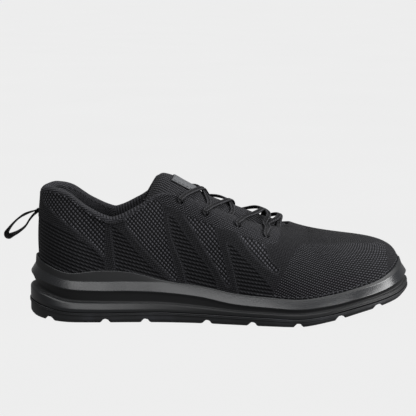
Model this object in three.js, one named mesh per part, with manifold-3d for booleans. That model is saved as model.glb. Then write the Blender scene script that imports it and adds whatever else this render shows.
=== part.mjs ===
// Low knitted work trainer for the right foot. Lengths are in millimetres: +X runs to the toe,
// +Y to the inner side of the foot, +Z up. The origin is on the ground under the heel's middle.
import * as THREE from "three";
import { mergeVertices } from "three/addons/utils/BufferGeometryUtils.js";
import Module from "manifold-3d";

const wasm = await Module();
wasm.setup();

// Driving sizes of the sole
const SOLE_LENGTH = 303.5;
const HEEL_SETBACK = 45; // back of the sole to the middle of the heel
const BALL_WIDTH = 108;
const STACK_HEIGHT = 32; // ground to the top of the side band at the heel
const TOE_SPRING = 20;
const ARCH_LIFT = 3.5;
const FOOTBED_DROP = 8; // top of the side band down to the surface that the foot's insole lies on
const WAIST_DEPTH = 4.2; // recess round the heel, between outsole and ridge
const RIDGE_INSET = 1.3;
const RIDGE_UNDERCUT = 1.3;
const RIDGE_EDGE = 2.2;
const FLANGE_WALL = 1.3;
const BAND_FOOT = 0.9;
const BOTTOM_BEVEL = 2.6;
const BOTTOM_BEVEL_HEIGHT = 2.4;
const LIP_STEP = 0.7;
const LIP_HEIGHT = 1.9;
const LUG_DEPTH = 3.2;
const LUG_GROOVE = 5.5;
const LUG_CHANNEL = 9; // width of the channel down the middle of the tread

// Driving sizes of the upper
const COLLAR_HEIGHT = 104.5; // ground to the topline at the back
const FEATHER_INSET = 8.2; // edge of the sole to the foot of the upper
const UPPER_WALL = 2.4;
const COLLAR_PAD = 8.5;
const PAD_FROM = 0.45; // where the wall starts to thicken and where it is full, as shares of its way up
const PAD_FULL = 0.95;
const ROLL_SHARE = 0.5; // height of the rolled edge over its thickness
const GAP = 0.35; // between pieces that touch
const EYELET_BORE = 4.6;
const EYELET_SETBACK = 10; // throat edge to an eyelet, over the surface
const EYELET_CUT = 15; // length of the cylinder that cuts an eyelet

// Driving sizes of the smaller pieces
const TONGUE_WALL = 5;
const TONGUE_LAP = 12; // how far the tongue runs under each side of the throat
const TONGUE_TUCK = 12; // how far it runs under the front of the throat
const TONGUE_CLEARANCE = 0.7;
const INSOLE_THICKNESS = 4.5;
const INSOLE_CLEARANCE = 1;
const INSOLE_ROUND = 1.5; // rounding of its upper edge
const LABEL_WIDTH = 22;
const LABEL_LENGTH = 21;
const LABEL_THICKNESS = 0.9;
const LABEL_START = 12.5; // from the tongue's tip, over its crest
const LACE_WIDTH = 4.2;
const LACE_THICKNESS = 2.2;
const LACE_BRIDGE = 1.6; // how far a strand stands clear of the tongue between the throat's edges
const LACE_DIVE = 0.76; // where a strand ends, as a share of the way from the crest to the edge
const LOOP_WIDTH = 9;
const LOOP_THICKNESS = 1.4;
const LOOP_LENGTH = 32;
const LOOP_SPREAD = 8.5;
const LOOP_HEIGHT = 82.5; // ground to the loop's root
const LOOP_DROOP = 39.5; // degrees below level
const LOOP_SEAT = 1.2; // heel to the loop's root

// Mesh steps
const STEPS_PER_ROW = 3;
const UPPER_STEPS = 6;
const ROLL_STEPS = 4;
const ARCH_STEPS = 4;
const FLANK_STEPS = 3;
const LACE_SIDES = 8;
const LACE_STEPS = 11;
const EYELET_SIDES = 10;
const CHANNEL_STEPS = 9;
const LABEL_ROWS = 4;
const LABEL_COLUMNS = 6;
const SMALL = 0.02; // step for directions over the surface, as a share of a row

// A row for each section, from the back of the heel round one side to the tip of the toe.
// along is a share of the sole's length from its back; lateral and medial are shares of the ball
// width on the outer and inner side. The rim columns place the edge of the collar and throat, its
// height as a share of the collar's. rise, swell, drop and reach shape the wall between sole and
// rim, as shares of the collar's height. pad is 1 where the collar is fully padded.
const SECTIONS = [
  { along: 0, lateral: 0, medial: 0, rimAlong: 0.031, rimSide: 0, rimHeight: 0.945,
    rise: 0.28, swell: 0.03, drop: 0.2, reach: 0.02, pad: 1 },
  { along: 0.0115, lateral: 0.163, medial: 0.163, rimAlong: 0.037, rimSide: 0.104, rimHeight: 0.95,
    rise: 0.28, swell: 0.03, drop: 0.2, reach: 0.02, pad: 1 },
  { along: 0.05, lateral: 0.293, medial: 0.291, rimAlong: 0.064, rimSide: 0.192, rimHeight: 0.96,
    rise: 0.28, swell: 0.03, drop: 0.2, reach: 0.022, pad: 1 },
  { along: 0.109, lateral: 0.361, medial: 0.358, rimAlong: 0.11, rimSide: 0.25, rimHeight: 0.926,
    rise: 0.28, swell: 0.03, drop: 0.2, reach: 0.025, pad: 1 },
  { along: 0.188, lateral: 0.371, medial: 0.365, rimAlong: 0.166, rimSide: 0.287, rimHeight: 0.816,
    rise: 0.27, swell: 0.028, drop: 0.18, reach: 0.03, pad: 1 },
  { along: 0.268, lateral: 0.364, medial: 0.347, rimAlong: 0.228, rimSide: 0.3, rimHeight: 0.752,
    rise: 0.27, swell: 0.028, drop: 0.17, reach: 0.035, pad: 1 },
  { along: 0.354, lateral: 0.366, medial: 0.306, rimAlong: 0.291, rimSide: 0.287, rimHeight: 0.834,
    rise: 0.29, swell: 0.03, drop: 0.2, reach: 0.055, pad: 0.75 },
  { along: 0.447, lateral: 0.394, medial: 0.285, rimAlong: 0.352, rimSide: 0.25, rimHeight: 0.952,
    rise: 0.31, swell: 0.04, drop: 0.2, reach: 0.13, pad: 0.22 },
  { along: 0.533, lateral: 0.444, medial: 0.32, rimAlong: 0.425, rimSide: 0.209, rimHeight: 0.916,
    rise: 0.31, swell: 0.045, drop: 0.13, reach: 0.2, pad: 0.03 },
  { along: 0.619, lateral: 0.495, medial: 0.398, rimAlong: 0.494, rimSide: 0.183, rimHeight: 0.838,
    rise: 0.3, swell: 0.045, drop: 0.1, reach: 0.22, pad: 0 },
  { along: 0.705, lateral: 0.523, medial: 0.477, rimAlong: 0.556, rimSide: 0.164, rimHeight: 0.758,
    rise: 0.29, swell: 0.045, drop: 0.08, reach: 0.24, pad: 0 },
  { along: 0.785, lateral: 0.503, medial: 0.494, rimAlong: 0.612, rimSide: 0.144, rimHeight: 0.708,
    rise: 0.3, swell: 0.045, drop: 0.075, reach: 0.27, pad: 0 },
  { along: 0.858, lateral: 0.451, medial: 0.475, rimAlong: 0.656, rimSide: 0.114, rimHeight: 0.69,
    rise: 0.32, swell: 0.05, drop: 0.09, reach: 0.32, pad: 0 },
  { along: 0.921, lateral: 0.361, medial: 0.417, rimAlong: 0.671, rimSide: 0.093, rimHeight: 0.692,
    rise: 0.345, swell: 0.055, drop: 0.12, reach: 0.37, pad: 0 },
  { along: 0.964, lateral: 0.245, medial: 0.338, rimAlong: 0.681, rimSide: 0.065, rimHeight: 0.698,
    rise: 0.36, swell: 0.055, drop: 0.15, reach: 0.41, pad: 0 },
  { along: 0.9885, lateral: 0.111, medial: 0.236, rimAlong: 0.6865, rimSide: 0.034, rimHeight: 0.702,
    rise: 0.37, swell: 0.055, drop: 0.165, reach: 0.43, pad: 0 },
  { along: 1, lateral: -0.056, medial: 0.056, rimAlong: 0.688, rimSide: 0, rimHeight: 0.704,
    rise: 0.372, swell: 0.055, drop: 0.17, reach: 0.44, pad: 0 },
];

// The side of the sole at the same sections. bottom is a share of the toe spring, arch of the
// arch's lift, and the others are heights over the bottom as shares of the stack's height.
// hollow is a share of the recess's depth.
const SOLE_SIDE = [
  { bottom: 0.1, arch: 0, lip: 0.38, waist: 0.76, ridge: 1.05, band: 1.24, flange: 1.44, hollow: 1 },
  { bottom: 0.08, arch: 0, lip: 0.37, waist: 0.73, ridge: 1.02, band: 1.2, flange: 1.4, hollow: 1 },
  { bottom: 0.04, arch: 0, lip: 0.32, waist: 0.64, ridge: 0.93, band: 1.12, flange: 1.3, hollow: 1 },
  { bottom: 0, arch: 0, lip: 0.26, waist: 0.54, ridge: 0.83, band: 1.03, flange: 1.2, hollow: 0.95 },
  { bottom: 0, arch: 0, lip: 0.24, waist: 0.51, ridge: 0.79, band: 1, flange: 1.26, hollow: 0.85 },
  { bottom: 0, arch: 0, lip: 0.25, waist: 0.5, ridge: 0.785, band: 1, flange: 1.22, hollow: 0.75 },
  { bottom: 0, arch: 0.7, lip: 0.26, waist: 0.49, ridge: 0.75, band: 0.97, flange: 1.02, hollow: 0.62 },
  { bottom: 0, arch: 1, lip: 0.24, waist: 0.42, ridge: 0.665, band: 0.86, flange: 0.9, hollow: 0.5 },
  { bottom: 0, arch: 0, lip: 0.225, waist: 0.355, ridge: 0.52, band: 0.71, flange: 0.75, hollow: 0.4 },
  { bottom: 0, arch: 0, lip: 0.215, waist: 0.33, ridge: 0.47, band: 0.65, flange: 0.69, hollow: 0.35 },
  { bottom: 0, arch: 0, lip: 0.195, waist: 0.32, ridge: 0.44, band: 0.61, flange: 0.65, hollow: 0.35 },
  { bottom: 0.2, arch: 0, lip: 0.17, waist: 0.29, ridge: 0.4, band: 0.57, flange: 0.62, hollow: 0.35 },
  { bottom: 0.46, arch: 0, lip: 0.155, waist: 0.28, ridge: 0.375, band: 0.55, flange: 0.6, hollow: 0.35 },
  { bottom: 0.66, arch: 0, lip: 0.15, waist: 0.27, ridge: 0.38, band: 0.55, flange: 0.62, hollow: 0.35 },
  { bottom: 0.79, arch: 0, lip: 0.155, waist: 0.28, ridge: 0.42, band: 0.6, flange: 0.7, hollow: 0.35 },
  { bottom: 0.89, arch: 0, lip: 0.165, waist: 0.3, ridge: 0.46, band: 0.64, flange: 0.77, hollow: 0.35 },
  { bottom: 0.93, arch: 0, lip: 0.17, waist: 0.31, ridge: 0.48, band: 0.66, flange: 0.81, hollow: 0.35 },
];

// The tongue, from its tip down: at is the section whose throat edges it passes under, along and
// height place its crest as shares of the sole's length and the collar's height, and lap is a share
// of how far it runs under each side.
const TONGUE_ROWS = [
  { at: 6.35, along: 0.341, height: 1.066, lap: 0.5 },
  { at: 6.65, along: 0.354, height: 1.081, lap: 0.75 },
  { at: 7.05, along: 0.379, height: 1.062, lap: 1 },
  { at: 7.45, along: 0.4053, height: 1.019, lap: 1 },
  { at: 7.95, along: 0.4382, height: 0.9665, lap: 1 },
  { at: 8.55, along: 0.4745, height: 0.904, lap: 1 },
  { at: 9.4, along: 0.5404, height: 0.8325, lap: 1 },
  { at: 10.2, along: 0.593, height: 0.775, lap: 1 },
  { at: 10.9, along: 0.6326, height: 0.737, lap: 1 },
  { at: 11.6, along: 0.657, height: 0.713, lap: 1 },
];

// The tongue's last rows, round the front of the throat: ahead is how many sections past the last
// row above, tuck the share of its way under the vamp.
const TONGUE_FRONTS = [
  { ahead: 0.7, tuck: 0 },
  { ahead: 1.1, tuck: 1 },
];

// The eyelets on each side: at is the section, back the distance over the surface from the
// throat's edge as a share of the eyelets' setback.
const EYELETS = [
  { at: 7.48, back: 0.65 },
  { at: 8.04, back: 1.65 },
  { at: 9.12, back: 2 },
  { at: 10.08, back: 2.5 },
];

// The lace's crossings, from the ankle down, each with the strands that it joins. A strand leaves
// eyelet number from of its own side, or starts at the throat's edge where from is null, passes over
// that edge at section over, and reaches the other side at section finish. It dives under the edge
// there, or runs on to eyelet number to. hump is its height over the tongue as a share of the usual.
const CROSSINGS = [
  [
    { inner: false, from: 0, over: 7.75, finish: 8.6, to: null, hump: 1 },
    { inner: true, from: 0, over: 7.75, finish: 8.64, to: null, hump: 1 },
  ],
  [
    { inner: false, from: 1, over: 8.85, finish: 9.5, to: null, hump: 1 },
    { inner: true, from: 1, over: 8.7, finish: 9.5, to: null, hump: 1.2 },
  ],
  [
    { inner: false, from: 2, over: 10.1, finish: 10.8, to: null, hump: 2.1 },
    { inner: true, from: 2, over: 9.95, finish: 11.1, to: 3, hump: 2.9 },
    { inner: false, from: 3, over: 11.25, finish: 11.6, to: null, hump: 2 },
    { inner: true, from: null, over: 11.1, finish: 11.9, to: null, hump: 2.6 },
  ],
];

// Where a strand stands over the tongue: along is a share of its way from one edge of the throat to
// the other, across the place between crest and edge, and rise a share of its bridge.
const STRAND = {
  start: { along: 0.28, across: -0.52, rise: 1 },
  crest: { along: 0.55, across: 0, rise: 0.8 },
  dive: { along: 0.8, across: 0.42, rise: 0 },
  landing: { along: 0.78, across: 0.52, rise: 1 },
};

// The pull loop's runs: out is a share of its length from the heel, high and low place the middle
// of the upper and the lower run as shares of its spread.
const LOOP_ROWS = [
  { out: 0, high: 0.09, low: -0.07 },
  { out: 0.13, high: 0.3, low: -0.06 },
  { out: 0.28, high: 0.48, low: -0.17 },
  { out: 0.48, high: 0.57, low: -0.4 },
  { out: 0.68, high: 0.52, low: -0.4 },
  { out: 0.84, high: 0.4, low: -0.28 },
  { out: 0.95, high: 0.25, low: -0.16 },
];

// Notches in the edge of the outsole and grooves over its tread, as shares of the sole's length
const NOTCHES = [0.061, 0.206, 0.309, 0.468, 0.584, 0.7, 0.808, 0.906];
const CHANNEL = { from: 0.5, to: 0.93 };

const ROWS = SECTIONS.length;
const LOOP = 2 * (ROWS - 1); // sections round the whole shoe
const COUNT = LOOP * STEPS_PER_ROW;
const UP = new THREE.Vector3(0, 0, 1);

// Position round the shoe: 0 at the heel, ROWS - 1 at the toe by the outer side, and back to LOOP
// by the inner side.
function wrap(at) {
  return ((at % LOOP) + LOOP) % LOOP;
}

// The row and the side that a whole position stands for
function rowAt(index) {
  const place = wrap(index);
  const outer = place < ROWS;
  return { row: outer ? place : LOOP - place, outer };
}

// Smooth value of a column between whole positions
function blend(at, valueAt) {
  const base = Math.floor(at);
  const t = at - base;
  const [a, b, c, d] = [-1, 0, 1, 2].map((step) => valueAt(base + step));
  const slope1 = (c - a) / 2;
  const slope2 = (d - b) / 2;
  return (
    b * (2 * t ** 3 - 3 * t ** 2 + 1) +
    slope1 * (t ** 3 - 2 * t ** 2 + t) +
    c * (3 * t ** 2 - 2 * t ** 3) +
    slope2 * (t ** 3 - t ** 2)
  );
}

function column(table, name, at) {
  return blend(at, (index) => table[rowAt(index).row][name]);
}

function alongToX(share) {
  return share * SOLE_LENGTH - HEEL_SETBACK;
}

// Edge of the sole in plan
function outline(at) {
  const x = alongToX(column(SECTIONS, "along", at));
  const y = blend(at, (index) => {
    const { row, outer } = rowAt(index);
    return outer ? -SECTIONS[row].lateral : SECTIONS[row].medial;
  });
  return new THREE.Vector3(x, y * BALL_WIDTH, 0);
}

// Outward direction of the sole's edge in plan
function outward(at) {
  const tangent = outline(at + SMALL).sub(outline(at - SMALL));
  return new THREE.Vector3(tangent.y, -tangent.x, 0).normalize();
}

function inset(at, distance, height) {
  return outline(at).addScaledVector(outward(at), -distance).setZ(height);
}

// Height of a line on the side of the sole
function soleHeight(name, at) {
  const inner = wrap(at) > ROWS - 1 ? 1 : 0;
  const spring = column(SOLE_SIDE, "bottom", at) * TOE_SPRING;
  const arch = inner * column(SOLE_SIDE, "arch", at) * ARCH_LIFT;
  if (name === "bottom") return spring + arch;
  return spring + column(SOLE_SIDE, name, at) * STACK_HEIGHT;
}

function footbedHeight(at) {
  return soleHeight("band", at) - FOOTBED_DROP;
}

function rimPoint(at) {
  const side = blend(at, (index) => {
    const { row, outer } = rowAt(index);
    return (outer ? -1 : 1) * SECTIONS[row].rimSide;
  });
  const height = column(SECTIONS, "rimHeight", at) * COLLAR_HEIGHT;
  return new THREE.Vector3(alongToX(column(SECTIONS, "rimAlong", at)), side * BALL_WIDTH, height);
}

// Outer face of the upper: up is 0 at the footbed and 1 at the rim
function shell(at, up) {
  const foot = inset(at, FEATHER_INSET, footbedHeight(at) + GAP);
  const rim = rimPoint(at);
  const away = foot.clone().sub(rim).setZ(0).normalize();
  const low = foot
    .clone()
    .addScaledVector(away, column(SECTIONS, "swell", at) * COLLAR_HEIGHT)
    .addScaledVector(UP, column(SECTIONS, "rise", at) * COLLAR_HEIGHT);
  const high = rim
    .clone()
    .addScaledVector(away, column(SECTIONS, "reach", at) * COLLAR_HEIGHT)
    .addScaledVector(UP, -column(SECTIONS, "drop", at) * COLLAR_HEIGHT);
  return new THREE.CubicBezierCurve3(foot, low, high, rim).getPoint(up);
}

// Direction out of the upper's face, and the direction up over it
function shellFrame(at, up) {
  const low = Math.max(up - SMALL, 0);
  const high = Math.min(up + SMALL, 1);
  const rising = shell(at, high).sub(shell(at, low)).normalize();
  const round = shell(at + SMALL, up).sub(shell(at - SMALL, up));
  return { rising, out: round.cross(rising).normalize() };
}

function wallAt(at, up) {
  const pad = THREE.MathUtils.clamp(column(SECTIONS, "pad", at), 0, 1);
  const rise = THREE.MathUtils.smoothstep(up, PAD_FROM, PAD_FULL);
  return UPPER_WALL + (COLLAR_PAD - UPPER_WALL) * pad * rise;
}

function innerShell(at, up, clearance = 0) {
  const { out } = shellFrame(at, up);
  return shell(at, up).addScaledVector(out, -wallAt(at, up) - clearance);
}

// How far up the shell a height is reached
function upAtHeight(at, height) {
  let low = 0;
  let high = 1;
  while (high - low > 1e-4) {
    const middle = (low + high) / 2;
    if (shell(at, middle).z < height) low = middle;
    else high = middle;
  }
  return low;
}

// How far up the shell a point lies that is a given distance below the rim, over the surface
function upBelowRim(at, distance) {
  let travelled = 0;
  let up = 1;
  let last = shell(at, up);
  while (travelled < distance && up > SMALL) {
    up -= SMALL / 4;
    const next = shell(at, up);
    travelled += next.distanceTo(last);
    last = next;
  }
  return up;
}

function pushQuad(indices, a, b, c, d) {
  indices.push(a, b, c, a, c, d);
}

function geometryOf(points, indices) {
  const geometry = new THREE.BufferGeometry();
  const flat = points.flatMap((p) => [p.x, p.y, p.z]);
  geometry.setAttribute("position", new THREE.Float32BufferAttribute(flat, 3));
  geometry.setIndex(indices);
  return geometry;
}

// Rings joined in a tube that closes on itself both ways
function doubleLoop(rings) {
  const size = rings[0].length;
  const indices = [];
  rings.forEach((ring, i) => {
    const next = (i + 1) % rings.length;
    for (let j = 0; j < size; j += 1) {
      const k = (j + 1) % size;
      pushQuad(indices, i * size + j, i * size + k, next * size + k, next * size + j);
    }
  });
  return geometryOf(rings.flat(), indices);
}

// Rings round the shoe joined from the lowest to the highest, with both ends closed by strips
// that run across the shoe
function cappedRings(rings) {
  const size = rings[0].length;
  const indices = [];
  for (let i = 0; i + 1 < rings.length; i += 1) {
    for (let j = 0; j < size; j += 1) {
      const k = (j + 1) % size;
      pushQuad(indices, i * size + j, i * size + k, (i + 1) * size + k, (i + 1) * size + j);
    }
  }
  const top = (rings.length - 1) * size;
  const half = size / 2;
  for (let j = 0; j < half; j += 1) {
    const [a, b] = [j, j + 1];
    const [c, d] = [(size - j - 1) % size, (size - j) % size];
    const corners = [a, b, c, d].filter((value, i, all) => all.indexOf(value) === i);
    for (let i = 1; i + 1 < corners.length; i += 1) {
      indices.push(corners[0], corners[i + 1], corners[i]);
      indices.push(top + corners[0], top + corners[i], top + corners[i + 1]);
    }
  }
  return geometryOf(rings.flat(), indices);
}

function ringOf(pointAt) {
  return Array.from({ length: COUNT }, (_, i) => pointAt(i / STEPS_PER_ROW));
}

// Rows of points joined as a closed sheet, from its lower to its upper face
function closedSheet(under, over) {
  const rows = under.length;
  const size = under[0].length;
  const indices = [];
  const overStart = rows * size;
  for (let i = 0; i + 1 < rows; i += 1) {
    for (let j = 0; j + 1 < size; j += 1) {
      const [a, b, c, d] = [i * size + j, i * size + j + 1, (i + 1) * size + j + 1, (i + 1) * size + j];
      pushQuad(indices, a, b, c, d);
      pushQuad(indices, overStart + a, overStart + d, overStart + c, overStart + b);
    }
    const [left, leftNext] = [i * size, (i + 1) * size];
    const [right, rightNext] = [left + size - 1, leftNext + size - 1];
    pushQuad(indices, left, leftNext, overStart + leftNext, overStart + left);
    pushQuad(indices, right, overStart + right, overStart + rightNext, rightNext);
  }
  for (let j = 0; j + 1 < size; j += 1) {
    const last = (rows - 1) * size;
    pushQuad(indices, j, overStart + j, overStart + j + 1, j + 1);
    pushQuad(indices, last + j, last + j + 1, overStart + last + j + 1, overStart + last + j);
  }
  return geometryOf([...under.flat(), ...over.flat()], indices);
}

// Solids for cutting and joining
function solidOf(geometry) {
  const bare = geometry.clone();
  bare.deleteAttribute("normal");
  bare.deleteAttribute("uv");
  const merged = mergeVertices(bare, 1e-4);
  const solid = new wasm.Manifold(
    new wasm.Mesh({
      numProp: 3,
      vertProperties: merged.attributes.position.array,
      triVerts: new Uint32Array(merged.index.array),
    }),
  );
  return solid;
}

function geometryOfSolid(solid) {
  const mesh = solid.getMesh();
  const geometry = new THREE.BufferGeometry();
  geometry.setAttribute("position", new THREE.Float32BufferAttribute(mesh.vertProperties, mesh.numProp));
  geometry.setIndex(Array.from(mesh.triVerts));
  return geometry;
}

// Outsole
function outsole() {
  const bottomSlope = (at) => soleHeight("bottom", at);
  const rings = [
    ringOf((at) => inset(at, BOTTOM_BEVEL, bottomSlope(at))),
    ringOf((at) => inset(at, LIP_STEP, bottomSlope(at) + BOTTOM_BEVEL_HEIGHT)),
    ringOf((at) => inset(at, LIP_STEP, soleHeight("lip", at) - LIP_HEIGHT)),
    ringOf((at) => inset(at, 0, soleHeight("lip", at) - LIP_HEIGHT)),
    ringOf((at) => inset(at, 0, soleHeight("lip", at))),
  ];
  const cuts = [...NOTCHES.map((share) => groove(alongToX(share))), channel()];
  return cuts.reduce((body, cut) => body.subtract(cut), solidOf(cappedRings(rings)));
}

// Midsole with its cup
function midsole() {
  const atShell = (at, height, distance) =>
    shell(at, upAtHeight(at, height)).addScaledVector(outward(at), distance).setZ(height);
  const flange = (at) => soleHeight("flange", at);
  const floor = (at) => footbedHeight(at);
  const middle = (at) => (flange(at) + floor(at)) / 2;
  const hollow = (at) => column(SOLE_SIDE, "hollow", at) * WAIST_DEPTH;
  const rings = [
    ringOf((at) => inset(at, LIP_STEP, soleHeight("lip", at) + GAP)),
    ringOf((at) => inset(at, LIP_STEP, (2 * soleHeight("lip", at) + soleHeight("waist", at)) / 3 + GAP)),
    ringOf((at) => inset(at, RIDGE_INSET + hollow(at), soleHeight("waist", at))),
    ringOf((at) => inset(at, RIDGE_INSET + RIDGE_UNDERCUT, soleHeight("ridge", at) - RIDGE_EDGE)),
    ringOf((at) => inset(at, RIDGE_INSET, soleHeight("ridge", at))),
    ringOf((at) => atShell(at, soleHeight("band", at), GAP + FLANGE_WALL + BAND_FOOT)),
    ringOf((at) => atShell(at, flange(at), GAP + FLANGE_WALL)),
    ringOf((at) => atShell(at, flange(at), GAP)),
    ringOf((at) => atShell(at, middle(at), GAP)),
    ringOf((at) => inset(at, FEATHER_INSET - GAP, floor(at))),
  ];
  return cappedRings(rings);
}

// Upper
function upperRings() {
  const flangeUp = (at) => upAtHeight(at, soleHeight("flange", at));
  const middleUp = (at) => upAtHeight(at, (soleHeight("flange", at) + footbedHeight(at)) / 2);
  const ups = [() => 0, middleUp, flangeUp];
  for (let i = 1; i <= UPPER_STEPS; i += 1) {
    const share = i / UPPER_STEPS;
    ups.push((at) => flangeUp(at) + (1 - flangeUp(at)) * share);
  }
  const face = ups.map((up) => ringOf((at) => shell(at, up(at))));
  const roll = [];
  for (let i = 1; i < ROLL_STEPS; i += 1) {
    const angle = (Math.PI * i) / ROLL_STEPS;
    roll.push(
      ringOf((at) => {
        const { rising, out } = shellFrame(at, 1);
        const radius = wallAt(at, 1) / 2;
        return shell(at, 1)
          .addScaledVector(out, (Math.cos(angle) - 1) * radius)
          .addScaledVector(rising, Math.sin(angle) * radius * 2 * ROLL_SHARE);
      }),
    );
  }
  const lining = ups.map((up) => ringOf((at) => innerShell(at, up(at)))).reverse();
  lining[lining.length - 1] = ringOf((at) => {
    const foot = shell(at, 0);
    return foot.addScaledVector(outward(at), -UPPER_WALL);
  });
  return [...face, ...roll, ...lining];
}

function upper() {
  return eyeletCutters().reduce((body, cut) => body.subtract(cut), solidOf(doubleLoop(upperRings())));
}

// Insole
function insole() {
  const edge = (at, extra, lift) =>
    inset(at, FEATHER_INSET + UPPER_WALL + INSOLE_CLEARANCE + extra, footbedHeight(at) + GAP + lift);
  return cappedRings([
    ringOf((at) => edge(at, 0, 0)),
    ringOf((at) => edge(at, 0, INSOLE_THICKNESS - INSOLE_ROUND)),
    ringOf((at) => edge(at, INSOLE_ROUND, INSOLE_THICKNESS)),
  ]);
}

// Tongue
function tongueColumn(name, at) {
  const last = TONGUE_ROWS.length - 1;
  let row = 0;
  while (row < last - 1 && TONGUE_ROWS[row + 1].at < at) row += 1;
  const span = TONGUE_ROWS[row + 1].at - TONGUE_ROWS[row].at;
  const place = row + (at - TONGUE_ROWS[row].at) / span;
  return blend(place, (index) => TONGUE_ROWS[THREE.MathUtils.clamp(index, 0, last)][name]);
}

// Top face of the tongue between the throat's edges: across runs from -1 at the outer edge, over
// the crest at 0, to 1 at the inner edge
function tongueArch(at, across) {
  const outer = innerShell(at, 1, TONGUE_CLEARANCE);
  const inner = innerShell(LOOP - at, 1, TONGUE_CLEARANCE);
  const x = alongToX(tongueColumn("along", at));
  const crest = new THREE.Vector3(x, (outer.y + inner.y) / 2, tongueColumn("height", at) * COLLAR_HEIGHT);
  const edge = across < 0 ? outer : inner;
  const share = Math.abs(across);
  return crest
    .clone()
    .lerp(edge, share * share)
    .setY(crest.y + (edge.y - crest.y) * share);
}

// Under the upper, a given distance over the surface from the rim
function underShell(at, distance) {
  return innerShell(at, upBelowRim(at, distance), TONGUE_CLEARANCE);
}

function tongueRow(at) {
  const lap = tongueColumn("lap", at) * TONGUE_LAP;
  const row = [];
  for (let i = 0; i < FLANK_STEPS; i += 1) row.push(underShell(at, lap * (1 - i / FLANK_STEPS)));
  for (let i = -ARCH_STEPS; i <= ARCH_STEPS; i += 1) row.push(tongueArch(at, i / ARCH_STEPS));
  for (let i = 1; i <= FLANK_STEPS; i += 1) row.push(underShell(LOOP - at, (lap * i) / FLANK_STEPS));
  return row;
}

// The rows that run round the front of the throat, under its edge and then under the vamp
function tongueFront(at, tuck) {
  const toe = ROWS - 1;
  const row = [];
  for (let i = 0; i < FLANK_STEPS; i += 1) {
    row.push(underShell(at, TONGUE_LAP + (tuck - TONGUE_LAP) * (i / FLANK_STEPS)));
  }
  for (let i = -ARCH_STEPS; i <= ARCH_STEPS; i += 1) {
    row.push(underShell(toe + (toe - at) * (i / ARCH_STEPS), tuck));
  }
  for (let i = 1; i <= FLANK_STEPS; i += 1) {
    row.push(underShell(LOOP - at, tuck + (TONGUE_LAP - tuck) * (i / FLANK_STEPS)));
  }
  return row;
}

// Direction out of a grid of points at one of them
function gridNormal(grid, i, j) {
  const rows = grid.length - 1;
  const columns = grid[0].length - 1;
  const down = grid[Math.min(i + 1, rows)][j].clone().sub(grid[Math.max(i - 1, 0)][j]);
  const across = grid[i][Math.min(j + 1, columns)].clone().sub(grid[i][Math.max(j - 1, 0)]);
  return down.cross(across).normalize();
}

function offsetGrid(grid, distance) {
  return grid.map((row, i) => row.map((p, j) => p.clone().addScaledVector(gridNormal(grid, i, j), distance)));
}

function tongue() {
  const face = TONGUE_ROWS.map(({ at }) => tongueRow(at));
  const last = TONGUE_ROWS[TONGUE_ROWS.length - 1].at;
  TONGUE_FRONTS.forEach(({ ahead, tuck }) => face.push(tongueFront(last + ahead, tuck * TONGUE_TUCK)));
  return closedSheet(offsetGrid(face, -TONGUE_WALL), face);
}

// Label: a plain strip over the tongue's crest, below its tip
function tongueLabel() {
  const first = TONGUE_ROWS[0].at;
  const sectionAt = (distance) => {
    let at = first;
    let travelled = 0;
    let point = tongueArch(at, 0);
    while (travelled < distance) {
      at += SMALL;
      const next = tongueArch(at, 0);
      travelled += next.distanceTo(point);
      point = next;
    }
    return at;
  };
  const grid = [];
  for (let i = 0; i <= LABEL_ROWS; i += 1) {
    const at = sectionAt(LABEL_START + (i / LABEL_ROWS) * LABEL_LENGTH);
    const throat = tongueArch(at, 1).y - tongueArch(at, -1).y;
    const row = [];
    for (let j = 0; j <= LABEL_COLUMNS; j += 1) {
      row.push(tongueArch(at, (((2 * j) / LABEL_COLUMNS - 1) * LABEL_WIDTH) / throat));
    }
    grid.push(row);
  }
  return closedSheet(offsetGrid(grid, GAP), offsetGrid(grid, GAP + LABEL_THICKNESS));
}

// Pull loop: the webbing's outline from the side, drawn out across its width
function pullLoop() {
  const half = LOOP_THICKNESS / 2;
  const outlineOf = (rows, grow, end) => {
    const points = rows.map(({ out, high }) => [out * LOOP_LENGTH, high * LOOP_SPREAD + grow]);
    points.push([LOOP_LENGTH - half + end, 0]);
    [...rows].reverse().forEach(({ out, low }) => points.push([out * LOOP_LENGTH, low * LOOP_SPREAD - grow]));
    return points;
  };
  const smooth = (points, closed) => {
    const curve = new THREE.CatmullRomCurve3(
      points.map(([x, y]) => new THREE.Vector3(x, y, 0)),
      closed,
      "centripetal",
    );
    return curve.getPoints(points.length * 2).map((p) => new THREE.Vector2(p.x, p.y));
  };
  const open = LOOP_ROWS.slice(1);
  const shape = new THREE.Shape(smooth(outlineOf(LOOP_ROWS, half, half), false));
  const hole = smooth(outlineOf(open, -half, -half), true).slice(0, -1).reverse();
  shape.holes.push(new THREE.Path(hole));
  const geometry = new THREE.ExtrudeGeometry(shape, { depth: LOOP_WIDTH, bevelEnabled: false, steps: 1 });
  const root = shell(0, upAtHeight(0, LOOP_HEIGHT));
  const droop = THREE.MathUtils.degToRad(LOOP_DROOP);
  const out = new THREE.Vector3(-Math.cos(droop), 0, -Math.sin(droop));
  const high = new THREE.Vector3(-Math.sin(droop), 0, Math.cos(droop));
  const across = new THREE.Vector3(0, 1, 0);
  geometry.translate(0, 0, -LOOP_WIDTH / 2);
  geometry.applyMatrix4(new THREE.Matrix4().makeBasis(out, high, across));
  geometry.translate(root.x - LOOP_SEAT, root.y, root.z);
  return geometry;
}

// Laces. Their middle line lies this far over what they lie on.
const LACE_LIFT = LACE_THICKNESS / 2 + GAP;

function overShell(at, distance) {
  const up = upBelowRim(at, distance);
  const { out } = shellFrame(at, up);
  return { point: shell(at, up).addScaledVector(out, LACE_LIFT), out };
}

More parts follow.
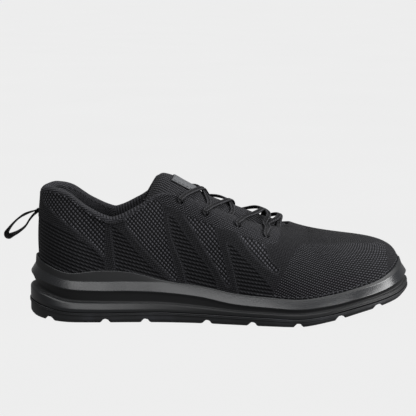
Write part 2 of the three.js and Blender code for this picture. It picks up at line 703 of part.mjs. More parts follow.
function overTongue(at, across, lift = 0) {
  const point = tongueArch(at, across);
  const side = tongueArch(at, across + SMALL).sub(tongueArch(at, across - SMALL));
  const down = tongueArch(at + SMALL, across).sub(tongueArch(at - SMALL, across));
  const out = down.cross(side).normalize();
  return { point: point.addScaledVector(out, LACE_LIFT + lift), out };
}

// The way of one strand, as points with the direction out of what it lies on
function strandWay({ inner, from, over, finish, to, hump }) {
  const own = (at) => (inner ? LOOP - at : at);
  const other = (at) => LOOP - own(at);
  const sign = inner ? -1 : 1;
  const between = (share) => over + (finish - over) * share;
  const inEyelet = (eyelet) => EYELETS[eyelet].back * EYELET_SETBACK - EYELET_BORE / 4;
  const overThroat = ({ along, across, rise }) =>
    overTongue(between(along), sign * across, LACE_BRIDGE * hump * rise);
  const way = [];
  if (from !== null) {
    way.push(overShell(own(EYELETS[from].at), inEyelet(from)));
    way.push(overShell(own((EYELETS[from].at + over) / 2), inEyelet(from) / 2));
  }
  way.push(overShell(own(over), 0));
  way.push(overThroat(STRAND.start));
  way.push(overThroat(STRAND.crest));
  if (to === null) {
    way.push(overThroat(STRAND.dive));
    way.push(overTongue(finish, sign * LACE_DIVE, 0));
    return way;
  }
  way.push(overThroat(STRAND.landing));
  way.push(overShell(other(finish), 0));
  way.push(overShell(other((finish + EYELETS[to].at) / 2), inEyelet(to) / 2));
  way.push(overShell(other(EYELETS[to].at), inEyelet(to)));
  return way;
}

// A flat oval drawn along a way
function flatCord(way) {
  const route = new THREE.CatmullRomCurve3(way.map(({ point }) => point), false, "centripetal");
  const lean = new THREE.CatmullRomCurve3(way.map(({ out }) => out), false, "centripetal");
  const rings = [];
  for (let i = 0; i <= LACE_STEPS; i += 1) {
    const t = i / LACE_STEPS;
    const centre = route.getPoint(t);
    const along = route.getTangent(t);
    const side = along.clone().cross(lean.getPoint(t)).normalize();
    const out = side.clone().cross(along).normalize();
    const ring = [];
    for (let j = 0; j < LACE_SIDES; j += 1) {
      const angle = (2 * Math.PI * j) / LACE_SIDES;
      ring.push(
        centre
          .clone()
          .addScaledVector(side, (Math.cos(angle) * LACE_WIDTH) / 2)
          .addScaledVector(out, (Math.sin(angle) * LACE_THICKNESS) / 2),
      );
    }
    rings.push(ring);
  }
  const indices = [];
  const top = LACE_STEPS * LACE_SIDES;
  for (let j = 0; j < LACE_SIDES; j += 1) {
    const k = (j + 1) % LACE_SIDES;
    for (let i = 0; i < top; i += LACE_SIDES) {
      pushQuad(indices, i + j, i + LACE_SIDES + j, i + LACE_SIDES + k, i + k);
    }
    if (j > 0 && k > 0) {
      indices.push(0, j, k);
      indices.push(top, top + k, top + j);
    }
  }
  return solidOf(geometryOf(rings.flat(), indices));
}

function laceCrossing(strands) {
  return strands.map((strand) => flatCord(strandWay(strand))).reduce((all, one) => all.add(one));
}

// Eyelet holes
function eyeletCutters() {
  const cutters = [];
  for (const { at, back } of EYELETS) {
    for (const place of [at, LOOP - at]) {
      const up = upBelowRim(place, back * EYELET_SETBACK);
      const { out } = shellFrame(place, up);
      const hole = new THREE.CylinderGeometry(EYELET_BORE / 2, EYELET_BORE / 2, EYELET_CUT, EYELET_SIDES);
      hole.applyQuaternion(new THREE.Quaternion().setFromUnitVectors(new THREE.Vector3(0, 1, 0), out));
      const centre = shell(place, up);
      hole.translate(centre.x, centre.y, centre.z);
      cutters.push(solidOf(hole));
    }
  }
  return cutters;
}

// Section whose outer edge lies at a distance along the sole
function sectionAtX(x) {
  let low = 0;
  let high = ROWS - 1;
  while (high - low > 1e-4) {
    const middle = (low + high) / 2;
    if (outline(middle).x < x) low = middle;
    else high = middle;
  }
  return low;
}

// Grooves over the tread, with sloping sides, and the channel down its middle
function groove(x) {
  const floor = soleHeight("bottom", sectionAtX(x));
  const half = LUG_GROOVE / 2;
  const shape = new THREE.Shape([
    new THREE.Vector2(x - half - LUG_DEPTH, floor - LUG_DEPTH),
    new THREE.Vector2(x + half + LUG_DEPTH, floor - LUG_DEPTH),
    new THREE.Vector2(x + half / 2, floor + LUG_DEPTH),
    new THREE.Vector2(x - half / 2, floor + LUG_DEPTH),
  ]);
  const geometry = new THREE.ExtrudeGeometry(shape, { depth: BALL_WIDTH * 2, bevelEnabled: false });
  geometry.rotateX(Math.PI / 2);
  geometry.translate(0, BALL_WIDTH, 0);
  return solidOf(geometry);
}

function channel() {
  const points = [];
  for (let i = 0; i <= CHANNEL_STEPS; i += 1) {
    const x = alongToX(CHANNEL.from + ((CHANNEL.to - CHANNEL.from) * i) / CHANNEL_STEPS);
    points.push(new THREE.Vector2(x, soleHeight("bottom", sectionAtX(x)) + LUG_DEPTH));
  }
  const last = points[points.length - 1];
  points.push(new THREE.Vector2(last.x, -LUG_DEPTH), new THREE.Vector2(points[0].x, -LUG_DEPTH));
  const shape = new THREE.Shape(points);
  const geometry = new THREE.ExtrudeGeometry(shape, { depth: LUG_CHANNEL, bevelEnabled: false });
  geometry.rotateX(Math.PI / 2);
  geometry.translate(0, LUG_CHANNEL / 2, 0);
  return solidOf(geometry);
}

const COLOURS = {
  rubber: { color: 0x17181a, roughness: 0.62 },
  foam: { color: 0x1f2022, roughness: 0.42 },
  knit: { color: 0x1b1c1f, roughness: 0.88 },
  lining: { color: 0x151618, roughness: 0.92 },
  label: { color: 0x55575b, roughness: 0.8 },
  lace: { color: 0x222326, roughness: 0.8 },
};

const shoe = new THREE.Group();

function addPiece(name, geometry, finish) {
  const material = new THREE.MeshStandardMaterial({ ...finish, metalness: 0 });
  const mesh = new THREE.Mesh(geometry, material);
  mesh.name = name;
  shoe.add(mesh);
}

addPiece("outsole", geometryOfSolid(outsole()), COLOURS.rubber);
addPiece("midsole", midsole(), COLOURS.foam);
addPiece("upper", geometryOfSolid(upper()), COLOURS.knit);
addPiece("insole", insole(), COLOURS.lining);
addPiece("tongue", tongue(), COLOURS.knit);
addPiece("tongue_label", tongueLabel(), COLOURS.label);
addPiece("pull_loop", pullLoop(), COLOURS.lace);
CROSSINGS.forEach((strands, i) => {
  addPiece(`lace_${i + 1}`, geometryOfSolid(laceCrossing(strands)), COLOURS.lace);
});

export default shoe;
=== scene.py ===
# %% [markdown]
# Low knitted work trainer for the right foot
# The shoe stands empty on its sole, seen from its outer side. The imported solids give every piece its
# place and size. This lesson makes the fine pieces that stand for them: a moulded sole, a knitted
# upper with its open zones, a padded tongue, laces and small trims. Lengths in the lesson are in
# millimetres, as a shoemaker would note them, and one function turns them into metres.

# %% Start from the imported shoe
import math

import bmesh
import bpy
import numpy as np
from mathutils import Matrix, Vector


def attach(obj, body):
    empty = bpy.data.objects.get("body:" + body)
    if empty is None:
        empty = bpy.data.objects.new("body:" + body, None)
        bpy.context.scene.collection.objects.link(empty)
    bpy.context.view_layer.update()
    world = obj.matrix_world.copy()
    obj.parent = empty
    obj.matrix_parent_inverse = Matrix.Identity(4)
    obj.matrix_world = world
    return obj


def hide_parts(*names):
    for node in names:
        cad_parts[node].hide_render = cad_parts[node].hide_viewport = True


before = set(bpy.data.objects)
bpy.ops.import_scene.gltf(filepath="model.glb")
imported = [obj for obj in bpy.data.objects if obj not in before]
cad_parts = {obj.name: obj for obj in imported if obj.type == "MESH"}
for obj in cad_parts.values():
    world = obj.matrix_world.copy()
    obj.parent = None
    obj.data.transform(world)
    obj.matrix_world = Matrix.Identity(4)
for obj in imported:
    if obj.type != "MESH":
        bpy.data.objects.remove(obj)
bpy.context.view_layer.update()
MM = 0.001
print("packed nodes:", sorted(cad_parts))

# %% [markdown]
# Camera
# A product photograph like this one is taken from far away with a long lens, so that the shoe keeps
# its proportions. The lens looks at the shoe's outer side from 9 degrees above level. The aim point
# and the distance were found by laying the shoe's outline over the photograph's.

# %% Set up the camera
CAMERA_TARGET = Vector((0.0978, 0.0, 0.0847))
CAMERA_DISTANCE = 1.244
CAMERA_ELEVATION = math.radians(9)
CAMERA_LENS = 135

scene = bpy.context.scene
lens = bpy.data.cameras.new("product_lens")
lens.lens = CAMERA_LENS
lens.sensor_width = 36
camera = bpy.data.objects.new("product_camera", lens)
scene.collection.objects.link(camera)
towards_camera = Vector((0, -math.cos(CAMERA_ELEVATION), math.sin(CAMERA_ELEVATION)))
camera.location = CAMERA_TARGET + CAMERA_DISTANCE * towards_camera
camera.rotation_euler = towards_camera.to_track_quat("Z", "Y").to_euler()
scene.camera = camera
print("camera at", [round(v, 3) for v in camera.location])

# %% [markdown]
# The last's sizes
# A shoe is built round a last, and its pattern is a set of sections from the heel to the toe. The
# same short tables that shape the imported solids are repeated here, so that the fine pieces lie
# exactly where the solids do. Each row is a section, and each column a share of a named size.

# %% Sizes of the sole and the upper
SOLE_LENGTH = 303.5
HEEL_SETBACK = 45
BALL_WIDTH = 108
STACK_HEIGHT = 32
TOE_SPRING = 20
ARCH_LIFT = 3.5
FOOTBED_DROP = 8
WAIST_DEPTH = 4.2
RIDGE_INSET = 1.3
RIDGE_UNDERCUT = 1.3
RIDGE_EDGE = 2.2
FLANGE_WALL = 1.3
BAND_FOOT = 0.9
BOTTOM_BEVEL = 2.6
BOTTOM_BEVEL_HEIGHT = 2.4
LIP_STEP = 0.7
LIP_HEIGHT = 1.9
LUG_DEPTH = 3.2
LUG_GROOVE = 5.5
LUG_CHANNEL = 9
COLLAR_HEIGHT = 104.5
FEATHER_INSET = 8.2
UPPER_WALL = 2.4
COLLAR_PAD = 8.5
PAD_FROM = 0.45
PAD_FULL = 0.95
GAP = 0.35
EYELET_BORE = 4.6
EYELET_SETBACK = 10

# along, lateral, medial, rim_along, rim_side, rim_height, rise, swell, drop, reach, pad
SECTION_ROWS = [
    (0, 0, 0, 0.031, 0, 0.945, 0.28, 0.03, 0.2, 0.02, 1),
    (0.0115, 0.163, 0.163, 0.037, 0.104, 0.95, 0.28, 0.03, 0.2, 0.02, 1),
    (0.05, 0.293, 0.291, 0.064, 0.192, 0.96, 0.28, 0.03, 0.2, 0.022, 1),
    (0.109, 0.361, 0.358, 0.11, 0.25, 0.926, 0.28, 0.03, 0.2, 0.025, 1),
    (0.188, 0.371, 0.365, 0.166, 0.287, 0.816, 0.27, 0.028, 0.18, 0.03, 1),
    (0.268, 0.364, 0.347, 0.228, 0.3, 0.752, 0.27, 0.028, 0.17, 0.035, 1),
    (0.354, 0.366, 0.306, 0.291, 0.287, 0.834, 0.29, 0.03, 0.2, 0.055, 0.75),
    (0.447, 0.394, 0.285, 0.352, 0.25, 0.952, 0.31, 0.04, 0.2, 0.13, 0.22),
    (0.533, 0.444, 0.32, 0.425, 0.209, 0.916, 0.31, 0.045, 0.13, 0.2, 0.03),
    (0.619, 0.495, 0.398, 0.494, 0.183, 0.838, 0.3, 0.045, 0.1, 0.22, 0),
    (0.705, 0.523, 0.477, 0.556, 0.164, 0.758, 0.29, 0.045, 0.08, 0.24, 0),
    (0.785, 0.503, 0.494, 0.612, 0.144, 0.708, 0.3, 0.045, 0.075, 0.27, 0),
    (0.858, 0.451, 0.475, 0.656, 0.114, 0.69, 0.32, 0.05, 0.09, 0.32, 0),
    (0.921, 0.361, 0.417, 0.671, 0.093, 0.692, 0.345, 0.055, 0.12, 0.37, 0),
    (0.964, 0.245, 0.338, 0.681, 0.065, 0.698, 0.36, 0.055, 0.15, 0.41, 0),
    (0.9885, 0.111, 0.236, 0.6865, 0.034, 0.702, 0.37, 0.055, 0.165, 0.43, 0),
    (1, -0.056, 0.056, 0.688, 0, 0.704, 0.372, 0.055, 0.17, 0.44, 0),
]
# bottom, arch, lip, waist, ridge, band, flange, hollow
SOLE_ROWS = [
    (0.1, 0, 0.38, 0.76, 1.05, 1.24, 1.44, 1),
    (0.08, 0, 0.37, 0.73, 1.02, 1.2, 1.4, 1),
    (0.04, 0, 0.32, 0.64, 0.93, 1.12, 1.3, 1),
    (0, 0, 0.26, 0.54, 0.83, 1.03, 1.2, 0.95),
    (0, 0, 0.24, 0.51, 0.79, 1, 1.26, 0.85),
    (0, 0, 0.25, 0.5, 0.785, 1, 1.22, 0.75),
    (0, 0.7, 0.26, 0.49, 0.75, 0.97, 1.02, 0.62),
    (0, 1, 0.24, 0.42, 0.665, 0.86, 0.9, 0.5),
    (0, 0, 0.225, 0.355, 0.52, 0.71, 0.75, 0.4),
    (0, 0, 0.215, 0.33, 0.47, 0.65, 0.69, 0.35),
    (0, 0, 0.195, 0.32, 0.44, 0.61, 0.65, 0.35),
    (0.2, 0, 0.17, 0.29, 0.4, 0.57, 0.62, 0.35),
    (0.46, 0, 0.155, 0.28, 0.375, 0.55, 0.6, 0.35),
    (0.66, 0, 0.15, 0.27, 0.38, 0.55, 0.62, 0.35),
    (0.79, 0, 0.155, 0.28, 0.42, 0.6, 0.7, 0.35),
    (0.89, 0, 0.165, 0.3, 0.46, 0.64, 0.77, 0.35),
    (0.93, 0, 0.17, 0.31, 0.48, 0.66, 0.81, 0.35),
]
SECTION_NAMES = "along lateral medial rim_along rim_side rim_height rise swell drop reach pad".split()
SOLE_NAMES = "bottom arch lip waist ridge band flange hollow".split()
SECTIONS = dict(zip(SECTION_NAMES, np.array(SECTION_ROWS, float).T))
SOLE_SIDE = dict(zip(SOLE_NAMES, np.array(SOLE_ROWS, float).T))
ROWS = len(SECTION_ROWS)
LOOP = 2 * (ROWS - 1)
print("sections round the shoe:", LOOP)

# %% [markdown]
# Functions over the last
# A place on the shoe is given by two numbers: at, the section, counted from the heel's back along the
# outer side to the toe and back along the inner side, and up, from the footbed at 0 to the rim at 1.
# Everything is worked out for whole arrays at once, which keeps a mesh of many thousand points quick.

# %% Smooth columns and the sole's outline
PLACES = np.arange(LOOP)
ROW_OF = np.where(PLACES < ROWS, PLACES, LOOP - PLACES)
OUTER = PLACES < ROWS
OUTLINE_SIDE = np.where(OUTER, -SECTIONS["lateral"][ROW_OF], SECTIONS["medial"][ROW_OF])
RIM_SIDE = np.where(OUTER, -1, 1) * SECTIONS["rim_side"][ROW_OF]
STEP = 0.02


def blend(values, at):
    """Smooth value between whole sections, round the whole shoe."""
    at = np.asarray(at, float)
    base = np.floor(at).astype(int)
    t = at - base
    a, b, c, d = (values[(base + step) % LOOP] for step in (-1, 0, 1, 2))
    smooth = b * (2 * t**3 - 3 * t**2 + 1) + c * (3 * t**2 - 2 * t**3)
    return smooth + (c - a) / 2 * (t**3 - 2 * t**2 + t) + (d - b) / 2 * (t**3 - t**2)


def column(table, name, at):
    return blend(table[name][ROW_OF], at)


def vectors(x, y, z):
    return np.stack(np.broadcast_arrays(x, y, z), -1).astype(float)


def unit(v):
    return v / np.maximum(np.linalg.norm(v, axis=-1, keepdims=True), 1e-9)


def along_to_x(share):
    return share * SOLE_LENGTH - HEEL_SETBACK


def outline(at):
    return vectors(along_to_x(column(SECTIONS, "along", at)), blend(OUTLINE_SIDE, at) * BALL_WIDTH, 0)


def outward(at):
    tangent = outline(at + STEP) - outline(at - STEP)
    return unit(vectors(tangent[..., 1], -tangent[..., 0], 0))


def inset(at, distance, height):
    flat = outline(at) - outward(at) * np.asarray(distance, float)[..., None]
    flat[..., 2] = height
    return flat


def sole_height(name, at):
    at = np.asarray(at, float)
    inner = (at % LOOP) > ROWS - 1
    spring = column(SOLE_SIDE, "bottom", at) * TOE_SPRING
    if name == "bottom":
        return spring + inner * column(SOLE_SIDE, "arch", at) * ARCH_LIFT
    return spring + column(SOLE_SIDE, name, at) * STACK_HEIGHT


def footbed_height(at):
    return sole_height("band", at) - FOOTBED_DROP


# %% The upper's outer face
def shell(at, up):
    """Point on the outer face of the upper."""
    at, up = np.broadcast_arrays(np.asarray(at, float), np.asarray(up, float))
    foot = inset(at, FEATHER_INSET, footbed_height(at) + GAP)
    rim = vectors(
        along_to_x(column(SECTIONS, "rim_along", at)),
        blend(RIM_SIDE, at) * BALL_WIDTH,
        column(SECTIONS, "rim_height", at) * COLLAR_HEIGHT,
    )
    away = foot - rim
    away[..., 2] = 0
    away = unit(away)
    names = ("swell", "rise", "reach", "drop")
    share = {n: (column(SECTIONS, n, at) * COLLAR_HEIGHT)[..., None] for n in names}
    upright = np.array([0.0, 0.0, 1.0])
    low = foot + away * share["swell"] + upright * share["rise"]
    high = rim + away * share["reach"] - upright * share["drop"]
    t = up[..., None]
    s = 1 - t
    return s**3 * foot + 3 * s**2 * t * low + 3 * s * t**2 * high + t**3 * rim


def shell_frame(at, up):
    """Directions up over the face and out of it."""
    rising = unit(shell(at, np.minimum(up + STEP, 1)) - shell(at, np.maximum(up - STEP, 0)))
    around = shell(at + STEP, up) - shell(at - STEP, up)
    return rising, unit(np.cross(around, rising))


def smoothstep(value, low, high):
    t = np.clip((value - low) / (high - low), 0, 1)
    return t * t * (3 - 2 * t)


def wall_at(at, up):
    pad = np.clip(column(SECTIONS, "pad", at), 0, 1)
    return UPPER_WALL + (COLLAR_PAD - UPPER_WALL) * pad * smoothstep(up, PAD_FROM, PAD_FULL)


def inner_shell(at, up, clearance=0.0):
    at, up = np.broadcast_arrays(np.asarray(at, float), np.asarray(up, float))
    out = shell_frame(at, up)[1]
    return shell(at, up) - out * (wall_at(at, up) + clearance)[..., None]


def up_at_height(at, height):
    low = np.zeros(np.shape(at))
    high = np.ones(np.shape(at))
    for _ in range(14):
        middle = (low + high) / 2
        below = shell(at, middle)[..., 2] < height
        low = np.where(below, middle, low)
        high = np.where(below, high, middle)
    return low


def up_below_rim(at, distance):
    """How far up a point lies that is a distance below the rim, over the surface."""
    at, distance = np.broadcast_arrays(np.asarray(at, float), np.asarray(distance, float))
    ups = np.linspace(1, 0, 161)
    points = shell(at[..., None], ups)
    steps = np.linalg.norm(np.diff(points, axis=-2), axis=-1)
    travelled = np.concatenate([np.zeros(at.shape + (1,)), np.cumsum(steps, -1)], -1)
    flat = zip(distance.ravel(), travelled.reshape(-1, len(ups)))
    return np.array([np.interp(d, way, ups) for d, way in flat]).reshape(at.shape)


print("collar at the back:", np.round(shell(0.0, 1.0), 1))

# %% [markdown]
# Making a mesh
# Every piece is made from arrays of points and faces. Rings of points round the shoe are joined into
# walls, and corners are rounded by a short curve, because a moulded edge is never perfectly sharp and
# it is its small radius that catches the light.

# %% Mesh helpers
def ring_faces(rings, size, start=0, closed=False):
    """Four-sided faces between neighbouring rings of the same size."""
    count = rings if closed else rings - 1
    i, j = np.meshgrid(np.arange(count), np.arange(size), indexing="ij")
    k = (j + 1) % size
    n = (i + 1) % rings
    return (start + np.stack([i * size + j, i * size + k, n * size + k, n * size + j], -1)).reshape(-1, 4)


def grid_faces(rows, size, start=0, flip=False):
    """Four-sided faces of an open grid of points."""
    i, j = np.meshgrid(np.arange(rows - 1), np.arange(size - 1), indexing="ij")
    faces = np.stack([i * size + j, i * size + j + 1, (i + 1) * size + j + 1, (i + 1) * size + j], -1)
    faces = start + faces.reshape(-1, 4)
    return faces[:, ::-1] if flip else faces


def cap_faces(size, start, flip=False):
    """Strips across the shoe that close a ring which runs round it."""
    half = size // 2
    strips = []
    for j in range(half):
        corners = [j, j + 1, size - j - 1, (size - j) % size]
        corners = [start + c for i, c in enumerate(corners) if c not in corners[:i]]
        strips.append(corners if flip else corners[::-1])
    return strips


def rounded(keys, radii, steps=4):
    """Rings with each corner ring replaced by a short curve of about its radius."""
    rings = []
    for i, (key, radius) in enumerate(zip(keys, radii)):
        if radius == 0 or i in (0, len(keys) - 1):
            rings.append(key)
            continue
        before = keys[i - 1] - key
        after = keys[i + 1] - key
        before_length = np.linalg.norm(before, axis=-1, keepdims=True)
        after_length = np.linalg.norm(after, axis=-1, keepdims=True)
        cut = np.minimum(radius, 0.45 * np.minimum(before_length, after_length))
        first = key + before / np.maximum(before_length, 1e-6) * cut
        last = key + after / np.maximum(after_length, 1e-6) * cut
        for t in np.linspace(0, 1, steps):
            rings.append((1 - t) ** 2 * first + 2 * t * (1 - t) * key + t**2 * last)
    return rings


def make_piece(name, points, faces, node, material, values=None):
    """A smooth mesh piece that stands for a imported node. values are named numbers or vectors a point."""
    mesh = bpy.data.meshes.new(name)
    corners = [tuple(int(c) for c in face) for face in faces]
    mesh.from_pydata((np.asarray(points) * MM).tolist(), [], corners)
    mesh.validate()
    mesh.polygons.foreach_set("use_smooth", [True] * len(mesh.polygons))
    for key, value in (values or {}).items():
        kind = "FLOAT" if np.ndim(value) == 1 else "FLOAT_VECTOR"
        layer = mesh.attributes.new(key, kind, "POINT")
        field = "value" if kind == "FLOAT" else "vector"
        layer.data.foreach_set(field, np.asarray(value, np.float32).ravel())
    mesh.materials.append(material)
    piece = bpy.data.objects.new(name, mesh)
    scene.collection.objects.link(piece)
    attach(piece, "root")
    if node:
        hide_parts(node)
    print(f"{name}: {len(mesh.vertices)} points, {len(mesh.polygons)} faces")
    return piece


# %% [markdown]
# Materials
# Nearly everything on this shoe is black, so the eye tells the pieces apart by their texture and
# gloss. Each finish starts as a real one: vulcanised rubber, injection moulded foam with a satin
# skin, polyester knit, brushed polyester lining, woven tape and braided cord. Patterns are drawn in
# millimetres, from values that the meshes carry, and nearly all at their real size. The twill alone is
# drawn coarser, because it would be too fine to show in the picture.

# %% One function adds a node
def linear(hex_colour):
    """An sRGB hex colour as linear light, with full opacity."""
    parts = [int(hex_colour[i : i + 2], 16) / 255 for i in (1, 3, 5)]
    return [p / 12.92 if p <= 0.04045 else ((p + 0.055) / 1.055) ** 2.4 for p in parts] + [1.0]


def add(tree, kind, inputs=(), out=0, **settings):
    """Adds a node, sets it and links its inputs. Gives one of its outputs."""
    node = tree.nodes.new(kind)
    for key, value in settings.items():
        setattr(node, key, value)
    for key, value in inputs.items() if isinstance(inputs, dict) else enumerate(inputs):
        if isinstance(value, bpy.types.NodeSocket):
            tree.links.new(value, node.inputs[key])
        elif value is not None:
            node.inputs[key].default_value = value
    return node.outputs[out] if len(node.outputs) else node


def new_material(name, base, roughness, **sockets):
    """A material whose surface is one principled shader. Gives the material, its tree and shader."""
    material = bpy.data.materials.new(name)
    material.use_nodes = True
    tree = material.node_tree
    shader = tree.nodes["Principled BSDF"]
    shader.inputs["Base Color"].default_value = linear(base)
    shader.inputs["Roughness"].default_value = roughness
    for key, value in sockets.items():
        shader.inputs[key.replace("_", " ")].default_value = value
    return material, tree, shader


def millimetres(tree):
    """Place on the shoe in millimetres."""
    place = add(tree, "ShaderNodeTexCoord", out=3)
    return add(tree, "ShaderNodeVectorMath", {0: place, 3: 1000.0}, operation="SCALE")


def wave(tree, value, pitch):
    """Runs between 0 and 1 once in each pitch."""
    angle = add(tree, "ShaderNodeMath", (value, 2 * math.pi / pitch), operation="MULTIPLY")
    sine = add(tree, "ShaderNodeMath", (angle,), operation="COSINE")
    return add(tree, "ShaderNodeMath", (sine, 0.5, 0.5), operation="MULTIPLY_ADD")


def slanted(tree, vector, direction):
    return add(tree, "ShaderNodeVectorMath", (vector, direction), out=1, operation="DOT_PRODUCT")


def step_up(tree, value, low, high):
    """0 below low, 1 above high, and smooth between them."""
    inputs = {0: value, 1: low, 2: high}
    return add(tree, "ShaderNodeMapRange", inputs, interpolation_type="SMOOTHSTEP")


def mix_value(tree, share, first, second):
    return add(tree, "ShaderNodeMix", {0: share, 2: first, 3: second}, data_type="FLOAT")


def mix_colour(tree, share, first, second):
    return add(tree, "ShaderNodeMix", {0: share, 6: first, 7: second}, out=2, data_type="RGBA")


def relief(tree, shader, height, depth_mm):
    """Gives the shader a height that is depth_mm deep from 0 to 1."""
    bump = add(tree, "ShaderNodeBump", {"Height": height, "Distance": depth_mm * MM, "Strength": 1.0})
    tree.links.new(bump, shader.inputs["Normal"])


# %% [markdown]
# Rubber and foam
# The outsole is vulcanised rubber: black, slightly chalky, with a fine grain left by the mould. The
# cup above it is moulded foam or soft rubber with a satin skin. Its sloping band is polished in the
# mould, so it is glossier than the walls. The mesh carries a value that is 1 on the band and a little
# less on the flange's top edge and, at the heel, on the lower wall's bulge. Where it lies the skin is
# glossier, and its colour is painted lighter there: a painted highlight.

# %% Sole materials
def rubber_material():
    sockets = {"IOR": 1.52, "Specular_IOR_Level": 0.4}
    material, tree, shader = new_material("vulcanised_rubber", "#101113", 0.6, **sockets)
    place = millimetres(tree)
    grain = add(tree, "ShaderNodeTexNoise", {"Vector": place, "Scale": 2.2, "Detail": 4.0, "Roughness": 0.6})
    dust = add(tree, "ShaderNodeTexNoise", {"Vector": place, "Scale": 0.05, "Detail": 5.0})
    dusty = step_up(tree, dust, 0.45, 0.75)
    colour = mix_colour(tree, dusty, linear("#17181a"), linear("#25262a"))
    tree.links.new(colour, shader.inputs["Base Color"])
    rough = mix_value(tree, grain, 0.5, 0.68)
    tree.links.new(rough, shader.inputs["Roughness"])
    relief(tree, shader, grain, 0.05)
    return material


def foam_material():
    sockets = {"IOR": 1.5, "Specular_IOR_Level": 0.42}
    material, tree, shader = new_material("moulded_foam_skin", "#0e0f11", 0.5, **sockets)
    place = millimetres(tree)
    # the marked band, flange edge and heel bulge: glossier, with a painted highlight in the colour
    gloss_and_painted_highlight = add(tree, "ShaderNodeAttribute", out=2, attribute_name="gloss_and_painted_highlight")
    grain = add(tree, "ShaderNodeTexNoise", {"Vector": place, "Scale": 1.6, "Detail": 5.0, "Roughness": 0.65})
    cloud = add(tree, "ShaderNodeTexNoise", {"Vector": place, "Scale": 0.035, "Detail": 4.0})
    wall = mix_colour(tree, cloud, linear("#090a0b"), linear("#131416"))
    colour = mix_colour(tree, gloss_and_painted_highlight, wall, linear("#1b1c1e"))
    tree.links.new(colour, shader.inputs["Base Color"])
    wall_rough = mix_value(tree, grain, 0.5, 0.66)
    rough = mix_value(tree, gloss_and_painted_highlight, wall_rough, 0.22)
    tree.links.new(rough, shader.inputs["Roughness"])
    relief(tree, shader, grain, 0.04)
    return material


RUBBER = rubber_material()
FOAM = foam_material()
print("sole materials:", RUBBER.name, FOAM.name)

# %% [markdown]
# Knit
# One machine knits the whole upper and changes its stitch from zone to zone: cross ribs at the heel
# and in three long triangles, open coarse mesh in the wedges between them, plain raised strips that
# keep the shape, a tight twill round the eyelets and a fine square mesh over the toe. The mesh of the
# upper carries how far each point lies inside each zone, in millimetres, so that the material can
# change the stitch along a crisp line. The black yarn's colour is painted lighter, with a faint cool
# tint, on its raised stitches, a painted highlight, and darker in their gaps, painted shade. The
# collar's cloth and the lining are painted lighter, painted light against the shade inside the collar.
# The plain strips have a faint light edge where another stitch begins. A lattice is the product of
# two slanted waves. The toe's lattice follows a distance that goes on round the toe's tip, so that it
# isn't squeezed where the side turns away.

# %% Knit material
RIB_PITCH = 2.9
# repeats in a millimetre along the shoe and up it
MESH_FALLING = (0.29, 0.3, 0)
MESH_RISING = (0.34, -0.2, 0)
TOE_FALLING = (0.2, 0.47, 0)
TOE_RISING = (0.47, -0.42, 0)
# about 1.5 on the real shoe, which is too fine to show
TWILL_PITCH = 1.7
TWILL_FALLING = (0.75, -0.66, 0)
TWILL_RISING = (0.26, 0.96, 0)
STITCH_PITCH = 1.3
COLLAR_PITCH = 1.6
LINING_PITCH = 2.4
KNIT_DEPTH = 0.7
# the plain strips' light edges: how far they lie outside the next stitch, how they fade, their tone
EDGE_PLACE = 0.9
EDGE_FADE = (0.9, 0.2)
EDGE_TONE = 0.14
STRIP_TONE = (0.2, 0.13)


def inside(tree, name, soft=0.35):
    distance = add(tree, "ShaderNodeAttribute", out=2, attribute_name=name)
    return step_up(tree, distance, -soft, soft)


def knots(tree, cloth, first, second, pitch=1.0):
    """Raised knots where two sets of slanted waves cross."""
    waves = [wave(tree, slanted(tree, cloth, direction), pitch) for direction in (first, second)]
    return add(tree, "ShaderNodeMath", waves, operation="MULTIPLY")


def scaled(tree, value, factor, offset):
    return add(tree, "ShaderNodeMath", (value, factor, offset), operation="MULTIPLY_ADD")


